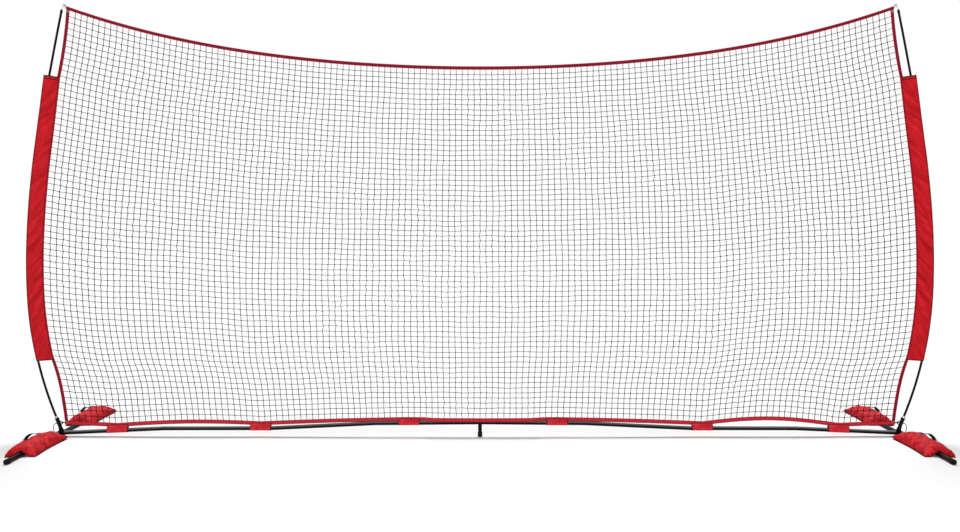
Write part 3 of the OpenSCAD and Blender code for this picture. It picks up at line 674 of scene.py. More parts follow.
def laid_in_net(name, bm, first, counts, upright=None):
    """Repeats a cell across and up from its first mesh, then warps it all into the outline."""
    cell = in_scene(name + "_cell", mesh_of(name, bm))
    for count, step in zip(counts, ((1, 0, 0), (0, 0, 1))):
        array = cell.modifiers.new("repeat", "ARRAY")
        array.count = count
        array.use_relative_offset = False
        array.use_constant_offset = True
        array.constant_offset_displace = step
    whole = bpy.data.meshes.new_from_object(evaluated(cell))
    bpy.data.objects.remove(cell)
    co = points_of(whole)
    column, row = co[:, 0] + first[0], co[:, 2] + first[1]
    u, v = column / MESH_COLS, row / MESH_ROWS
    x, z = net_point(u, v)
    dx, dy, dz = uneven(u, v)
    slip_x, slip_z = knot_slip(np.round(column), np.round(row))
    held = np.clip(to_edge(column, row, MESH_COLS, MESH_ROWS), 0, 1)
    shift_x, shift_z = held * slip_x, held * slip_z
    if upright is True:
        shift_x = shift_x + held * lean(u, v) * (np.round(row) - row)
    elif upright is False:
        shift_z = shift_z + held * 0.5 * lean(v, u) * (np.round(column) - column)
    y = co[:, 1] * MESH_MM + dy + belly(u, v)
    laid = np.stack([x + dx + shift_x, y, z + dz + shift_z], axis=1) * MM
    whole.vertices.foreach_set("co", laid.ravel())
    whole.update()
    whole.name = name
    piece = placed(name, whole, TWINE, replaces=["net"])
    piece.visible_shadow = False


laid_in_net("twine_across", twine_length(False), (0, 1), (MESH_COLS, MESH_ROWS - 1), False)
laid_in_net("twine_upright", twine_length(True), (1, 0), (MESH_COLS - 1, MESH_ROWS), True)
laid_in_net("twine_knots", knot(), (1, 1), (MESH_COLS - 1, MESH_ROWS - 1))

# %% [markdown]
# ## Woven finishes
# Cloth and webbing are threads that go over and under each other. Each woven piece carries a UV
# map in real metres, so two crossed waves at the thread's own spacing draw the weave, and it
# turns with the cloth. The threads of the red cloth are drawn twice as coarse as they are,
# because at half a millimetre they would not show.

# %% Weave pattern
# Colour of the painted shade in dark lines along folds, edges and hems.
SHADE_LINE_COLOUR = "#5A0712"
CREASE_DEPTH_MM = 5.0


def weave(tree, thread_mm, rib_mm):
    """The piece's own UV map, and the height of a plain weave on it."""
    uv = add(tree, "ShaderNodeUVMap", uv_map="cut").outputs["UV"]
    threads = [wave(tree, uv, size, axis, Distortion=0.4, Detail=1.0)
               for axis, size in (("X", thread_mm), ("Y", rib_mm))]
    return uv, maths(tree, "MULTIPLY", *threads)


def off_line(tree, value, at_mm):
    """How far a value in metres is from a place in millimetres."""
    return maths(tree, "ABSOLUTE", maths(tree, "SUBTRACT", value, at_mm * MM))


def woven_cloth(name, dark, light, thread_mm=1.0, shine=0.1, crease=(60.0, 60.0, 0.0), lines=()):
    """Cloth with soft creases, as (length, spacing, slant in degrees), which are both bumped and
    painted into the colour as shade and light, and with painted shade in darker lines along
    folds, edges and hems, each as (UV axis, place, half width) in millimetres."""
    material, tree, shader = new_material(name, IOR=1.5, Specular_IOR_Level=shine,
                                          Sheen_Weight=shine / 4, Sheen_Tint=linear(light))
    uv, height = weave(tree, thread_mm, thread_mm)
    slanted = mapped(tree, uv, turn=(0, 0, crease[2]))
    drawn = mapped(tree, slanted, (crease[0], crease[1], METRE_MM))
    creases_and_painted_shade = noise(tree, drawn, METRE_MM, 4.0, Roughness=0.55, Distortion=0.5)
    creased_cloth = relief(tree, creases_and_painted_shade, 0.8, CREASE_DEPTH_MM)
    # Painted shade and light: the colour runs from dark to light across the creases.
    tone = maths(tree, "MULTIPLY_ADD", height, 0.15, ranged(tree, creases_and_painted_shade, 0, 1, 0.3, 0.7))
    colour = blended(tree, tone, dark, light)
    # Painted shade: darker lines along folds, edges and hems.
    if lines:
        places = axes_of(tree, uv)
        painted_shade = 0.0
        for axis, at_mm, half_mm in lines:
            far = off_line(tree, places[axis], at_mm)
            near = ranged(tree, far, 0, 1, half_mm * MM, half_mm * MM / 2)
            painted_shade = maths(tree, "MAXIMUM", near, painted_shade)
        colour = covered(tree, painted_shade, colour, SHADE_LINE_COLOUR)
    plug(tree, shader, colour, ranged(tree, creases_and_painted_shade, 0.5, 0.72),
         relief(tree, height, 0.35, 0.25, Normal=creased_cloth))
    return material


def edged_tape(name, core, edge, width_mm, thread_mm):
    """Webbing whose core and edges differ in tone, by the distance across it in the UV map."""
    material, tree, shader = new_material(name, IOR=1.5, Specular_IOR_Level=0.18,
                                          Sheen_Weight=0.05)
    uv, height = weave(tree, thread_mm, thread_mm * 1.6)
    far = off_line(tree, axes_of(tree, uv)["Y"], width_mm / 2)
    rim = ranged(tree, far, 0, 1, width_mm * MM * 0.30, width_mm * MM * 0.42)
    plug(tree, shader, blended(tree, rim, core, edge), ranged(tree, height, 0.75, 0.6),
         relief(tree, height, 0.5, 0.3))
    return material


SLEEVE_LONG = SLEEVE_RUN[1] - SLEEVE_RUN[0]
# Its dark lines are painted shade: round the sleeve's outer edge, along both hem edges and along
# the top hem's fold.
SLEEVE_CLOTH = woven_cloth(
    "red_polyester_oxford", "#B60A16", "#EE2430", crease=(150, 30, -38),
    lines=(("Y", 0, 24), ("X", 0, 8), ("X", SLEEVE_LONG, 10), ("X", SLEEVE_LONG - 20, 4)))
CRIMSON_TAPE = edged_tape("crimson_polyester_webbing", "#8E0E26", "#C22A40", TAPE_W, 1.4)
RED_TAPE = edged_tape("red_polyester_webbing", "#D42A3A", "#8A0E1C", TAPE_W, 1.4)
BLACK_WEBBING = woven_cloth("black_nylon_webbing", "#050506", "#0E0E10", 1.6, shine=0.02)

# %% [markdown]
# ## Laying cloth
# Sewn parts start flat. A grid stands for the cut cloth, each of its points is laid where the
# sewn piece holds it, and its place on the cut goes into the UV map, so that the weave stays
# true. Where the two long edges meet, they are merged into one seam.

# %% Lay a flat cut in space
def lay_cut(name, steps, place, material, closed=False, **how):
    """A grid of steps[0] by steps[1] faces. place(s, t) gives a point and its place on the cut
    in millimetres, for s and t from 0 to 1."""
    bm = bmesh.new()
    bmesh.ops.create_grid(bm, x_segments=steps[0], y_segments=steps[1], size=0.5)
    cut = bm.loops.layers.uv.new("cut")
    for vert in bm.verts:
        point, on_cut = place(vert.co.x + 0.5, vert.co.y + 0.5)
        vert.co = Vector(point) * MM
        for loop in vert.link_loops:
            loop[cut].uv = Vector(on_cut) * MM
    if closed:
        bmesh.ops.remove_doubles(bm, verts=bm.verts, dist=0.01 * MM)
        rims = [e for e in bm.edges if e.is_boundary]
        bmesh.ops.holes_fill(bm, edges=rims, sides=0)
        bmesh.ops.recalc_face_normals(bm, faces=bm.faces)
    return finished(name, bm, material, **how)


# %% [markdown]
# ## Edge binding
# Webbing is folded over each edge of the net and stitched down, so its section is a flat loop
# with a round fold outside. The stitching draws it in along two lines, and the pull of the
# meshes puckers it a little.

# %% Binding along the four edges
TAPE_T = 3.0
TAPE_WIDER = 1.12
LOWER_TAPE_WIDER = 1.3
PUCKER_MM = 0.7
STITCH_LINES = (4.0, 18.0)
STITCH_W = 1.6
STITCH_DEPTH = 0.35
NET_GRIP = 0.04
CORNER_RISE = 0.36 * TAPE_W
LAST_PART = 0.02


def tape_section(t):
    """Distance across the tape and out of its plane, round the folded section from the net."""
    side = -1 if t < 0.5 else 1
    f = 1 - abs(2 * t - 1)
    across = TAPE_W * min(1.0, max(0.0, (f - NET_GRIP) / 0.9)) ** 0.9
    to_fold = min(1.0, (TAPE_W - across) / (TAPE_T / 2))
    half = TAPE_T / 2 * math.sqrt(to_fold * (2 - to_fold))
    half -= STITCH_DEPTH * sum(math.exp(-((across - line) / STITCH_W) ** 2)
                               for line in STITCH_LINES)
    return across, side * half * min(1.0, f / NET_GRIP)


def binding(name, edge, lift, length, material, steps, replaces, spread=TAPE_WIDER,
            sway=lambda s: 0.0):
    """Tape along edge(s), the inner line of the binding, reaching out by lift(s). It is spread
    about its middle, and sway(s) moves it out of the plane."""
    def place(s, t):
        w, y = tape_section(t)
        x, z = edge(s)
        lx, lz = lift(s)
        run = s * length
        y += PUCKER_MM * ripple(run / 60, 0.4) * w / TAPE_W + sway(s)
        wide = (w - TAPE_W / 2) * spread / TAPE_W + 0.5
        return (x + lx * wide, y, z + lz * wide), (run, w)
    return lay_cut(name, (steps, 26), place, material, closed=True, replaces=replaces)


def net_edge(u=None, v=None, side=1):
    """An edge of the net as a path, along which the fraction that isn't given runs."""
    def line(s):
        x, z = net_point(s if u is None else u, s if v is None else v)
        return side * float(x[0]), float(z[0])
    return line


def side_lift(side):
    """Sideways, and up in the last part, where the tape runs up to the one along the top."""
    def lift(s):
        return side * TAPE_W, CORNER_RISE * max(0.0, 1 - (1 - s) / LAST_PART) ** 2
    return lift


def past_corners(line, reach, rise):
    """The same line run past both ends by reach, and raised there by rise."""
    def longer(s):
        over = reach / (2 * NET_TOP[0])
        t = (s - over) / (1 - 2 * over)
        x, z = line(min(max(t, 0.0), 1.0))
        beyond = max(-t, t - 1, 0.0) * (1 - 2 * over) / over
        return x + math.copysign(beyond * reach, t - 0.5), z + beyond * rise
    return longer


top = binding("binding_top_tape", past_corners(net_edge(v=1.0), TAPE_W, CORNER_RISE),
              lambda s: (0, TAPE_W), 2 * NET_TOP[0], CRIMSON_TAPE, 420, ["binding_top"])
bottom = binding("binding_bottom_tape", past_corners(net_edge(v=0.0), TAPE_W, 0),
                 lambda s: (0, -TAPE_W), 2 * NET_BOTTOM[0], RED_TAPE, 420, ["binding_bottom"],
                 spread=LOWER_TAPE_WIDER, sway=lambda s: float(belly(s, 0.0)))
for side_name, side in SIDES:
    tape = binding("binding_tape_" + side_name, net_edge(u=1.0, side=side), side_lift(side),
                   NET_TOP[1] - NET_BOTTOM[1], CRIMSON_TAPE, 240, ["binding_" + side_name])

# %% [markdown]
# ## Pole sleeves
# A sleeve is one strip of red cloth folded round the pole and sewn to the net's edge, with the
# net's binding caught between its two layers. It is pulled tight over the pole and slack in
# between, so creases run slantwise from the pole to the seam. Each end has a doubled hem.

# %% Sleeves
SLEEVE_R = 10.5
SLEEVE_T = 0.9
SLEEVE_SEAM = 9.0 - SEAM_INSET
SEAM_HALF = 2.4
HEM_W = 24.0
FLARE_FILL = 0.1
LOW_HEM_DROP = 22.0
TOP_HEM_RISE = 6.0
HEM_EASE = 150.0
HEM_PUFF = 0.6
CREASE_RUN = 52.0
PUFF = 4.2
EDGE_WAVE = 1.4
HEM_WAVE = 1.5


def pocket_section(t, pull):
    """Place at t once round the sleeve: distance outside the pole, distance out of the plane,
    way from the middle of the cut, and the whole way round. The upper hem's pull moves the seam
    and the round end outwards."""
    flare = HEM_FLARE * pull
    r = SLEEVE_R + FLARE_FILL * flare
    seam = SLEEVE_SEAM + HEM_DRAW * pull
    touch = math.acos((r - SEAM_HALF) / (flare - seam))
    flat = (flare - seam) * math.sin(touch)
    wrap = 2 * (math.pi - touch) * r
    whole = 2 * flat + wrap
    d = t * whole
    if flat <= d <= flat + wrap:
        a = math.pi - touch - (d - flat) / r
        return flare + r * math.cos(a), r * math.sin(a), d - whole / 2, whole
    f = d / flat if d < flat else (whole - d) / flat
    side = 1 if d < flat else -1
    a = math.pi - touch
    x = seam + f * (flare + r * math.cos(a) - seam)
    y = SEAM_HALF + f * (r * math.sin(a) - SEAM_HALF)
    return x, side * y, d - whole / 2, whole


def pull_at(run):
    """Share of the hem's pull where the seam crosses this run, found in two steps."""
    pull = 0.0
    for _ in range(2):
        pull = float(hem_pull(on_bow(run, HEM_DRAW * pull - SEAM_INSET)[1]))
    return pull


def wrinkle(run, q, y, side):
    """Long slack folds that run slantwise from the pole down to the seam, from -1 to 1."""
    slant = (run + 0.75 * q) / CREASE_RUN + 0.5 * math.copysign(1, y) * side
    patch = 0.6 + 0.4 * math.sin(run / 210 + 2 * side)
    sharp = 1 - abs(math.sin(math.pi * slant + 0.8 * math.sin(run / 95))) ** 0.7
    return patch * (1.6 * sharp - 0.7) + 0.4 * ripple(1.9 * slant, 0.02 * q)


def sleeve(side_name, side):
    low, high = SLEEVE_RUN

    def place(s, t):
        run = low + s * (high - low)
        q, y, d, whole = pocket_section(t, pull_at(run))
        share = min(1.0, abs(d) / (whole / 2))
        slack = math.sin(math.pi * share) ** 0.8
        ends = min(1.0, (run - low) / 60, (high - run) / 60)
        puff = PUFF * slack * ends * wrinkle(run, q, y, side)
        hem = HEM_PUFF if min(run - low, high - run) < HEM_W else 0.0
        y += math.copysign(puff + hem, y) if abs(y) > 0.3 else 0.0
        edge = EDGE_WAVE * ripple(run / 41, side) * (1 if share > 0.9 else 0.3)
        drop = LOW_HEM_DROP * share * max(0.0, 1 - (run - low) / HEM_EASE) ** 2
        rise = TOP_HEM_RISE * (1 + share) * max(0.0, 1 - (high - run) / HEM_EASE) ** 2
        hem_wave = HEM_WAVE * ripple(share * 7 + side, y) * max(0.0, 1 - (high - run) / 40)
        x, z = on_bow(run - drop + rise + hem_wave, q + edge)
        return (side * x, y, z), (run - low, d)
    piece = lay_cut("sleeve_cloth_" + side_name, (600, 48), place, SLEEVE_CLOTH,
                    replaces=["sleeve_" + side_name])
    thicken(piece, SLEEVE_T * MM)


for side_name, side in SIDES:
    sleeve(side_name, side)

# %% [markdown]
# ## Straps along the rail
# Six hook-and-loop straps hold the net's lower edge to the rail. Each is a patch of the same red
# cloth that goes down the front of the binding, round under the tube and up the back.

# %% Straps
STRAP_W = 150.0
STRAP_T = 1.6
STRAP_DROP = 8.0
RAIL_R = 14.0
STRAP_CREASE = 0.7
FRAY = 0.8
NECK = math.radians(33)
# Its dark lines are painted shade along its front edge and its two sides.
STRAP_CLOTH = woven_cloth("red_polyester_oxford_strap", "#D2202E", "#F43E4A", lines=(
    ("Y", 0, 4), ("X", -STRAP_W / 2, 6), ("X", STRAP_W / 2, 6)))


def strap_section(t, top):
    """Out of plane and height over the rail's axis, from the front edge round to the back."""
    r = RAIL_R + 0.4 + STRAP_T / 2
    half = TAPE_T / 2 + STRAP_T / 2 + 0.6
    pinch = top - TAPE_W
    neck_y, neck_z = r * math.cos(NECK), r * math.sin(NECK)
    fall = TAPE_W - STRAP_DROP
    slope = math.hypot(neck_y - half, pinch - neck_z)
    under = r * (math.pi + 2 * NECK)
    whole = 2 * (fall + slope) + under
    d = t * whole
    side, e = (-1, d) if d < whole / 2 else (1, whole - d)
    if e < fall:
        return side * half, top - STRAP_DROP - e, d
    if e < fall + slope:
        f = (e - fall) / slope
        return side * (half + f * (neck_y - half)), pinch + f * (neck_z - pinch), d
    a = NECK - (e - fall - slope) / r
    return side * r * math.cos(a), r * math.sin(a), d


def strap(number, x0, over):
    top = over + TAPE_W / 2
    tilt = float(rail_height(x0 + 1) - rail_height(x0 - 1)) / 2
    width = strap_section(1.0, top)[2]

    def place(s, t):
        run = (s - 0.5) * STRAP_W
        y, z, d = strap_section(t, top)
        rim = min(d, width - d)
        crease = STRAP_CREASE * ripple(run / 11 + number, d / 30) * min(1.0, rim / 15)
        frayed = FRAY * ripple(run / 17 + 3 * number) * (1 if rim < 1 else 0)
        y += math.copysign(max(crease, -0.4), y)
        x = x0 + run + 0.6 * ripple(d / 14, number)
        return (x, y, float(rail_height(x0)) + tilt * run + z + frayed), (run, d)
    side_name = "left" if x0 < 0 else "right"
    piece = lay_cut(f"strap_{number}", (36, 60), place, STRAP_CLOTH,
                    replaces=["straps_" + side_name])
    thicken(piece, STRAP_T * MM)


for number, (x0, over) in enumerate(zip(STRAP_X, TIE_OVER_RAIL), start=1):
    strap(number, x0, over)

# %% [markdown]
# ## Loops of elastic and eyelets
# The net's corners are pulled out by loops of elastic cord. A loop is a tube laid along a closed
# path: two straight strands, one on each side of the webbing, and a half turn round the eye at
# each end. The webbing is pierced there, and a pressed eyelet keeps it from tearing. The lower
# loops are black and the upper ones pale.

# %% Tube along a closed path
def lay_loop(name, path, radius, material, steps, sides=10, **how):
    """A tube round the closed path(s), in millimetres."""
    def place(s, t):
        here, ahead, behind = [Vector(path((s + off / steps) % 1.0)) for off in (0, 0.5, -0.5)]
        along = (ahead - behind).normalized()
        plain_up = Vector((0, 0, 1)) if abs(along.z) < 0.95 else Vector((0, 1, 0))
        out = along.cross(plain_up).normalized()
        a = 2 * math.pi * t
        point = here + radius * (math.cos(a) * out + math.sin(a) * out.cross(along))
        return point, (s * steps * 4, a * radius)
    return lay_cut(name, (steps, sides), place, material, closed=True, **how)


def loop_path(p, q, half):
    """Closed path through two eyes in the net's plane, its strands half in front and behind."""
    p, q, front = Vector((p[0], 0, p[1])), Vector((q[0], 0, q[1])), Vector((0, half, 0))
    along = (q - p).normalized()
    p, q = p + along * half, q - along * half
    span = (q - p).length
    turn = math.pi * half
    whole = 2 * (span + turn)

    def path(s):
        d = (s % 1.0) * whole
        if d < span:
            return p + along * d + front
        if d < span + turn:
            a = (d - span) / half
            return q + half * math.sin(a) * along + math.cos(a) * front
        if d < 2 * span + turn:
            return q - along * (d - span - turn) - front
        a = (d - 2 * span - turn) / half
        return p - half * math.sin(a) * along - math.cos(a) * front
    return path


# %% Corner loops
ELASTIC_D = 5.0
ELASTIC_HALF = TAPE_T / 2 + ELASTIC_D / 2 + 1.4
POLE_TIP = on_bow(sum(ROD_LENGTHS), 0)
HUB_EYE = (MOUTH[0] - 33, MOUTH[1] - 33)
HOOK_EYE = (POLE_TIP[0] - 19, POLE_TIP[1] + 34.5)
LOW_EYELET = (NET_BOTTOM[0] + 11, NET_BOTTOM[1] - 11)
HIGH_EYELET = (NET_TOP[0] + 12, NET_TOP[1] - 8)
EYELET_R = 6.2
EYELET_ROLL = 1.4
EYELET_DEEPER = 1.7


def eyelet(name, side, at):
    """Rolled metal ring on both faces of the webbing."""
    bm = bmesh.new()
    bmesh.ops.create_circle(bm, segments=10, radius=EYELET_ROLL)
    bmesh.ops.translate(bm, verts=bm.verts, vec=(EYELET_R, 0, 0))
    turn_all(bm, 90, "X", (EYELET_R, 0, 0))
    bmesh.ops.spin(bm, geom=bm.verts[:] + bm.edges[:], cent=(0, 0, 0), axis=(0, 0, 1),
                   angle=math.radians(360), steps=28, use_merge=True)
    stretch_all(bm, 1, 1, EYELET_DEEPER)
    turn_all(bm, 90, "X")
    bmesh.ops.translate(bm, verts=bm.verts, vec=(side * at[0], 0, at[1]))
    stretch_all(bm, MM, MM, MM)
    bmesh.ops.recalc_face_normals(bm, faces=bm.faces)
    finished(name, bm, ZINC)


for side_name, side in SIDES:
    for level, eye, hole, material in (("low", HUB_EYE, LOW_EYELET, ELASTIC),
                                       ("high", HOOK_EYE, HIGH_EYELET, PALE_ELASTIC)):
        path = loop_path((side * eye[0], eye[1]), (side * hole[0], hole[1]), ELASTIC_HALF)
        loop = lay_loop(f"elastic_loop_{level}_{side_name}", path, ELASTIC_D / 2, material, 72,
                        replaces=["corner_loops_" + side_name])
        eyelet(f"eyelet_{level}_{side_name}", side, hole)

# %% [markdown]
# ## Sandbags
# A sandbag is a flat pouch, sewn shut and part filled, that lies across its leg like a saddle.
# Its four corners stick out as points, its edges draw in between them, and the cloth puckers
# along the seam. It starts as two skins bent over the leg and joined round the rim, then a
# cloth simulation fills it. Each point may move only a little, and not at all on the seam, so
# that the cloth stays on its rim.

# %% Shape of one sandbag, along its leg
LEG_PIVOT = (2984.0, 38.0)
LEG_SPLAY = 3.6
BAG_GAP = 26.0
BAG_LEN = 455.0
BAG_W = 206.0
BAG_H = 64.0
OUTER_POWER = 3.4
INNER_POWER = 1.9
REAR_BAG_SHIFT = 210.0
TUNNEL_HALF = 60.0
TUNNEL_H = 38.0
BAG_MID = BAG_GAP + BAG_LEN / 2
RIM_DRAW_IN = 15.0
SEAM_ALLOWANCE = 3.0


def under_bag(y):
    """Height of the bag's underside, which clears the leg."""
    return np.maximum(1.2, TUNNEL_H * (1 - np.abs(y) / TUNNEL_HALF))


def pouch(a, b, up):
    """Point of the pouch for a along it and b across it, from -1 to 1, on its top or underside."""
    x = a * (BAG_LEN / 2 - SEAM_ALLOWANCE - RIM_DRAW_IN * (1 - b * b) * abs(a))
    y = b * (BAG_W / 2 - SEAM_ALLOWANCE - RIM_DRAW_IN * (1 - a * a) * abs(b))
    under = float(under_bag(y)) + 1.0
    power = OUTER_POWER if b > 0 else INNER_POWER
    crown = BAG_H * max(0.0, 1 - abs(b) ** power) ** (1 / power)
    fill = max(0.0, 1 - a ** 6) ** 0.6
    over = under + 1.0 + max(0.0, crown - under) * fill
    return BAG_MID + x, y, over if up else under


def bag_frame(side, front):
    """Turns millimetres along a leg into a bag's place on the frame, in metres. The rear bags
    lie further out, and their legs turn outwards where the front ones turn inwards."""
    turn = Matrix.Rotation(math.radians(-90 - (LEG_SPLAY if front else -LEG_SPLAY)), 4, "Z")
    to_pivot = Matrix.Translation((LEG_PIVOT[0], -LEG_PIVOT[1], 0))
    flip = Matrix.Diagonal((side, 1 if front else -1, 1, 1))
    shift = Matrix.Translation((0 if front else REAR_BAG_SHIFT, 0, 0))
    return Matrix.Scale(MM, 4) @ flip @ to_pivot @ turn @ shift


# %% Fill the pouch
BAG_VOXEL = 5.5
BAG_SWELL = 4.0
SWELL_FROM_SEAM = 35.0
FILL_PRESSURE = 4
FILL_FRAMES = 20


def pouch_bmesh():
    bm = bmesh.new()
    for up in (True, False):
        skin = bmesh.ops.create_grid(bm, x_segments=64, y_segments=36, size=1.0)["verts"]
        for vert in skin:
            vert.co = Vector(pouch(vert.co.x, vert.co.y, up))
    rim = [v for v in bm.verts if v.is_boundary]
    bmesh.ops.remove_doubles(bm, verts=rim, dist=2.5)
    bmesh.ops.recalc_face_normals(bm, faces=bm.faces)
    return bm


def seam_distance(points):
    """Distance of each point from the pouch's rim, seen from above, in millimetres."""
    x, y = np.abs(points[:, 0] - BAG_MID), np.abs(points[:, 1])
    return np.minimum(BAG_LEN / 2 - x, BAG_W / 2 - y) - SEAM_ALLOWANCE


def filled(bm):
    """The pouch as a mesh in millimetres, swollen by the pressure of its filling."""
    stretch_all(bm, MM, MM, MM)
    dummy = in_scene("pouch", mesh_of("pouch", bm))
    remesh = dummy.modifiers.new("even", "REMESH")
    remesh.mode = "VOXEL"
    remesh.voxel_size = BAG_VOXEL * MM
    even = bpy.data.meshes.new_from_object(evaluated(dummy))
    dummy.modifiers.clear()
    dummy.data = even
    rest = points_of(even)
    cloth = dummy.modifiers.new("fill", "CLOTH")
    cloth.settings.use_pressure = True
    cloth.settings.uniform_pressure_force = FILL_PRESSURE
    cloth.settings.effector_weights.gravity = 0
    for frame_number in range(1, FILL_FRAMES + 1):
        bpy.context.scene.frame_set(frame_number)
    moved = points_of(evaluated(dummy).data) - rest
    far = np.linalg.norm(moved, axis=1, keepdims=True)
    held = np.clip(seam_distance(rest / MM) / SWELL_FROM_SEAM, 0, 1)[:, None]
    rest = rest + held * moved * np.minimum(1, BAG_SWELL * MM / np.maximum(far, 1e-9))
    bpy.context.scene.frame_set(1)
    bpy.data.objects.remove(dummy)
    return even, rest / MM


POUCH, POUCH_POINTS = filled(pouch_bmesh())
print("pouch", len(POUCH_POINTS), "points from", np.round(POUCH_POINTS.min(0)),
      "to", np.round(POUCH_POINTS.max(0)))

# %% [markdown]
# ## Creases and rim
# The simulation gives the fullness. The creases come after it, because a remesh would blur
# them: short puckers that fade away from the seam, and a few long slack folds across the top.
# One inner tip of each bag curls up. A cord of cloth is sewn round the rim, coloured dark as
# painted shade along the seam.

# %% Crease the bags and set them on their legs
PUCKER_EVERY_MM = 19.0
PUCKER_DEEP = 3.4
PUCKER_REACH = 24.0
FOLD_DEEP = 4.0
SLACK_DEEP = 2.6
RIM_CORD_R = 2.6
CORNER_ROUND = 0.04
TIP_LIFT = 22.0


def creased(points, seed):
    """Adds puckers along the rim and slack folds, and keeps the cloth off floor and leg."""
    x, y, z = points[:, 0] - BAG_MID, points[:, 1], points[:, 2]
    to_end, to_side = BAG_LEN / 2 - np.abs(x), BAG_W / 2 - np.abs(y)
    near = np.minimum(to_end, to_side)
    run = np.where(to_end < to_side, y, x)
    top = np.clip((z - under_bag(y) - 4) / 12, 0, 1)
    wander = 1.5 * np.sin(run / 31 + seed)
    pucker = PUCKER_DEEP * np.exp(-near / PUCKER_REACH)
    pucker = pucker * np.sin(2 * math.pi * run / PUCKER_EVERY_MM + wander)
    bend = 2.0 * np.sin(x / 61 + seed)
    fold = FOLD_DEEP * np.sin((x + 1.4 * y) / 27 + bend) * np.sin(x / 83 + 0.7 * seed + 1)
    slack = SLACK_DEEP * np.sin((x - 2.2 * y) / 19 + seed) * np.sin(y / 37 + x / 90)
    z = z + top * (pucker + np.clip(near / 25, 0, 1) * (fold + slack))
    return np.stack([x + BAG_MID, y, np.maximum(z, under_bag(y) - 0.4)], axis=1)


def tip_lift(x, y, front):
    """How far one inner tip of the bag curls up: the hub's end in front, the far end behind."""
    along = (BAG_MID - x if front else x - BAG_MID) / (BAG_LEN / 2)
    inwards = -y / (BAG_W / 2)
    return TIP_LIFT * np.clip(along, 0, 1) ** 5 * np.clip(inwards, 0, 1) ** 3


def rim_path(s):
    """Once round the seam of the pouch."""
    d = 4 * (s % 1.0)
    part, f = int(d), 2 * (d % 1.0) - 1
    a, b = ((f, -1), (1, f), (-f, 1), (-1, -f))[part]
    rounded = 1 - CORNER_ROUND * abs(f) ** 6
    x, y, z = pouch(a * rounded, b * rounded, False)
    return x, y, z + 1.2


def sandbag(where, side, front, seed):
    """One bag with its rim cord. It gives back the bag's points along its leg."""
    frame_of_bag = bag_frame(side, front)
    mesh = POUCH.copy()
    local = creased(POUCH_POINTS, seed)
    local[:, 2] += tip_lift(local[:, 0], local[:, 1], front)
    mesh.vertices.foreach_set("co", local.ravel())
    mesh.update()
    bm = bmesh.new()
    bm.from_mesh(mesh)
    bmesh.ops.smooth_vert(bm, verts=bm.verts, factor=0.4,
                          use_axis_x=True, use_axis_y=True, use_axis_z=True)
    cut = bm.loops.layers.uv.new("cut")
    for face in bm.faces:
        for loop in face.loops:
            x, y, z = loop.vert.co
            loop[cut].uv = (x * MM, math.copysign(math.hypot(y, BAG_H - z), y) * MM)
    bmesh.ops.transform(bm, matrix=frame_of_bag, verts=bm.verts)
    bmesh.ops.recalc_face_normals(bm, faces=bm.faces)
    bag = finished("sandbag_cloth_" + where, bm, BAG_CLOTH, body="bag_" + where,
                   replaces=["sandbag_" + where])
    rounder = bag.modifiers.new("round", "SUBSURF")
    rounder.levels = rounder.render_levels = 1

    def path(s):
        x, y, z = rim_path(s)
        return frame_of_bag @ Vector((x, y, z + float(tip_lift(x, y, front)))) / MM
    cord = lay_loop("sandbag_rim_" + where, path, RIM_CORD_R, SEAM_SHADE_CORD, 260, sides=8,
                    body="bag_" + where)
    return local


# %% [markdown]
# ## Handles
# A strip of webbing is sewn flat along the bag's ridge. Between its two sewn tails it stands off
# the bag's shoulder in a low arc.

# %% Webbing handle
HANDLE_W = 25.0
HANDLE_T = 2.5
HANDLE_SPAN = 180.0
HANDLE_RISE = 36.0
HANDLE_Y = 88.0
HANDLE_FOOT = 36.0
HANDLE_TOP = HANDLE_FOOT + HANDLE_RISE
HANDLE_X = {True: 172.0, False: 335.0}  # on a front bag, on a rear one
HANDLE_TAIL = 45.0
TAIL_Y = 58.0


def top_at(points, x, y):
    """Height of a bag's top at a place, from the points around it."""
    near = np.hypot(points[:, 0] - x, points[:, 1] - y) < 9
    return float(points[near, 2].max())


def handle(where, side, front, points):
    """The arc of a circle where it is above the bag, and the bag's top elsewhere."""
    frame_of_bag = bag_frame(side, front)
    r = (HANDLE_SPAN ** 2 / 4 + HANDLE_RISE ** 2) / (2 * HANDLE_RISE) - HANDLE_T / 2
    reach = HANDLE_SPAN / 2 + HANDLE_TAIL

    def place(s, t):
        off = (2 * s - 1) * reach
        tail = min(1.0, max(0.0, (abs(off) - HANDLE_SPAN / 4) / (reach - HANDLE_SPAN / 4)))
        x = HANDLE_X[front] + off
        y = HANDLE_Y + (TAIL_Y - HANDLE_Y) * eased(tail)
        arc = HANDLE_TOP - HANDLE_T / 2 - r + math.sqrt(max(0.0, r * r - off * off))
        lying = top_at(points, x, y) + HANDLE_T / 2
        z = (arc + lying + math.hypot(arc - lying, 5.0)) / 2 + 0.4 * ripple(s * 9 + side, t)
        across = (t - 0.5) * HANDLE_W
        return frame_of_bag @ Vector((x, y + across, z)) / MM, (s * 2 * reach, t * HANDLE_W)
    piece = lay_cut("handle_webbing_" + where, (72, 8), place, BLACK_WEBBING, body="bag_" + where,
                    replaces=["bag_handle_" + where])
    thicken(piece, HANDLE_T * MM)


# Its wide span from dark to light red is painted shade and light of the crumples.
BAG_CLOTH = woven_cloth("red_polyester_oxford_bag", "#92060F", "#F02A36", crease=(75, 32, 30))
# The rim cord's near-black red is painted shade along the seam.
SEAM_SHADE_CORD = woven_cloth("dark_red_cord_painted_seam_shade", "#2C0408", "#640A14")
for where, side, front, seed in (("front_left", -1, True, 0.6), ("front_right", 1, True, 2.2),
                                 ("rear_left", -1, False, 3.9), ("rear_right", 1, False, 5.3)):
    handle(where, side, front, sandbag(where, side, front, seed))

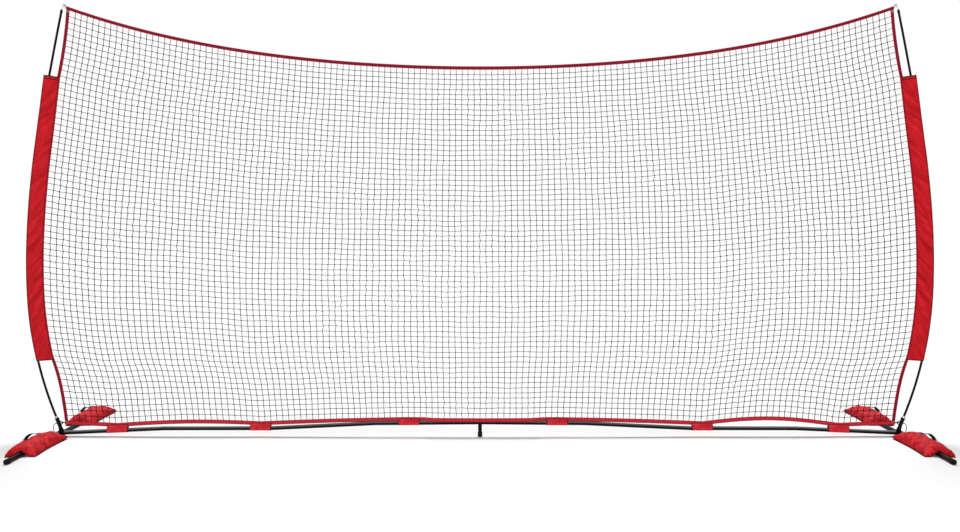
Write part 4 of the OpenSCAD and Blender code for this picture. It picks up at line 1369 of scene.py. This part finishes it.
# %% [markdown]
# ## Floor and light
# A plain white studio: the sky lights everything evenly, a wide soft sun behind and above the
# net makes the soft shadows fall forwards, and a second one fills the front. The floor and the
# sky look white to the camera, and in anything shiny, without adding light to the object.

# %% Floor
FLOOR_HALF = 60
PAPER_LEVEL = 0.8
SKY_LEVEL = 0.18


def stage_floor():
    bm = bmesh.new()
    bmesh.ops.create_grid(bm, x_segments=1, y_segments=1, size=FLOOR_HALF)
    floor = in_scene("floor", mesh_of("floor", bm))
    material = bpy.data.materials.new("white_paper")
    tree = emptied(material)
    seen = add(tree, "ShaderNodeLightPath").outputs["Is Camera Ray"]
    shade = ranged(tree, seen, PAPER_LEVEL, 1.0)
    paper = add(tree, "ShaderNodeBsdfDiffuse", {"Color": shade})
    add(tree, "ShaderNodeOutputMaterial", {"Surface": paper.outputs["BSDF"]})
    floor.data.materials.append(material)


# %% Sky and suns
def light_world():
    world = bpy.data.worlds.new("studio")
    tree = emptied(world)
    rays = add(tree, "ShaderNodeLightPath").outputs
    seen = maths(tree, "MAXIMUM", rays["Is Camera Ray"], rays["Is Glossy Ray"])
    shown = maths(tree, "MAXIMUM", seen, rays["Is Transmission Ray"])
    level = ranged(tree, shown, SKY_LEVEL, 1.0)
    sky = add(tree, "ShaderNodeBackground", {"Color": (1, 1, 1, 1), "Strength": level})
    add(tree, "ShaderNodeOutputWorld", {"Surface": sky.outputs["Background"]})
    bpy.context.scene.world = world


def soft_sun(name, tilt, turn, strength, width):
    """Sun that shines from tilt degrees off the zenith, turned round it by turn."""
    data = bpy.data.lights.new(name, "SUN")
    data.energy = strength
    data.angle = math.radians(width)
    in_scene(name, data).rotation_euler = (math.radians(tilt), 0, math.radians(turn))


stage_floor()
light_world()
soft_sun("back_light", tilt=24, turn=177, strength=2.55, width=24)
soft_sun("front_light", tilt=72, turn=-20, strength=1.15, width=60)
bpy.context.scene.view_settings.view_transform = "Standard"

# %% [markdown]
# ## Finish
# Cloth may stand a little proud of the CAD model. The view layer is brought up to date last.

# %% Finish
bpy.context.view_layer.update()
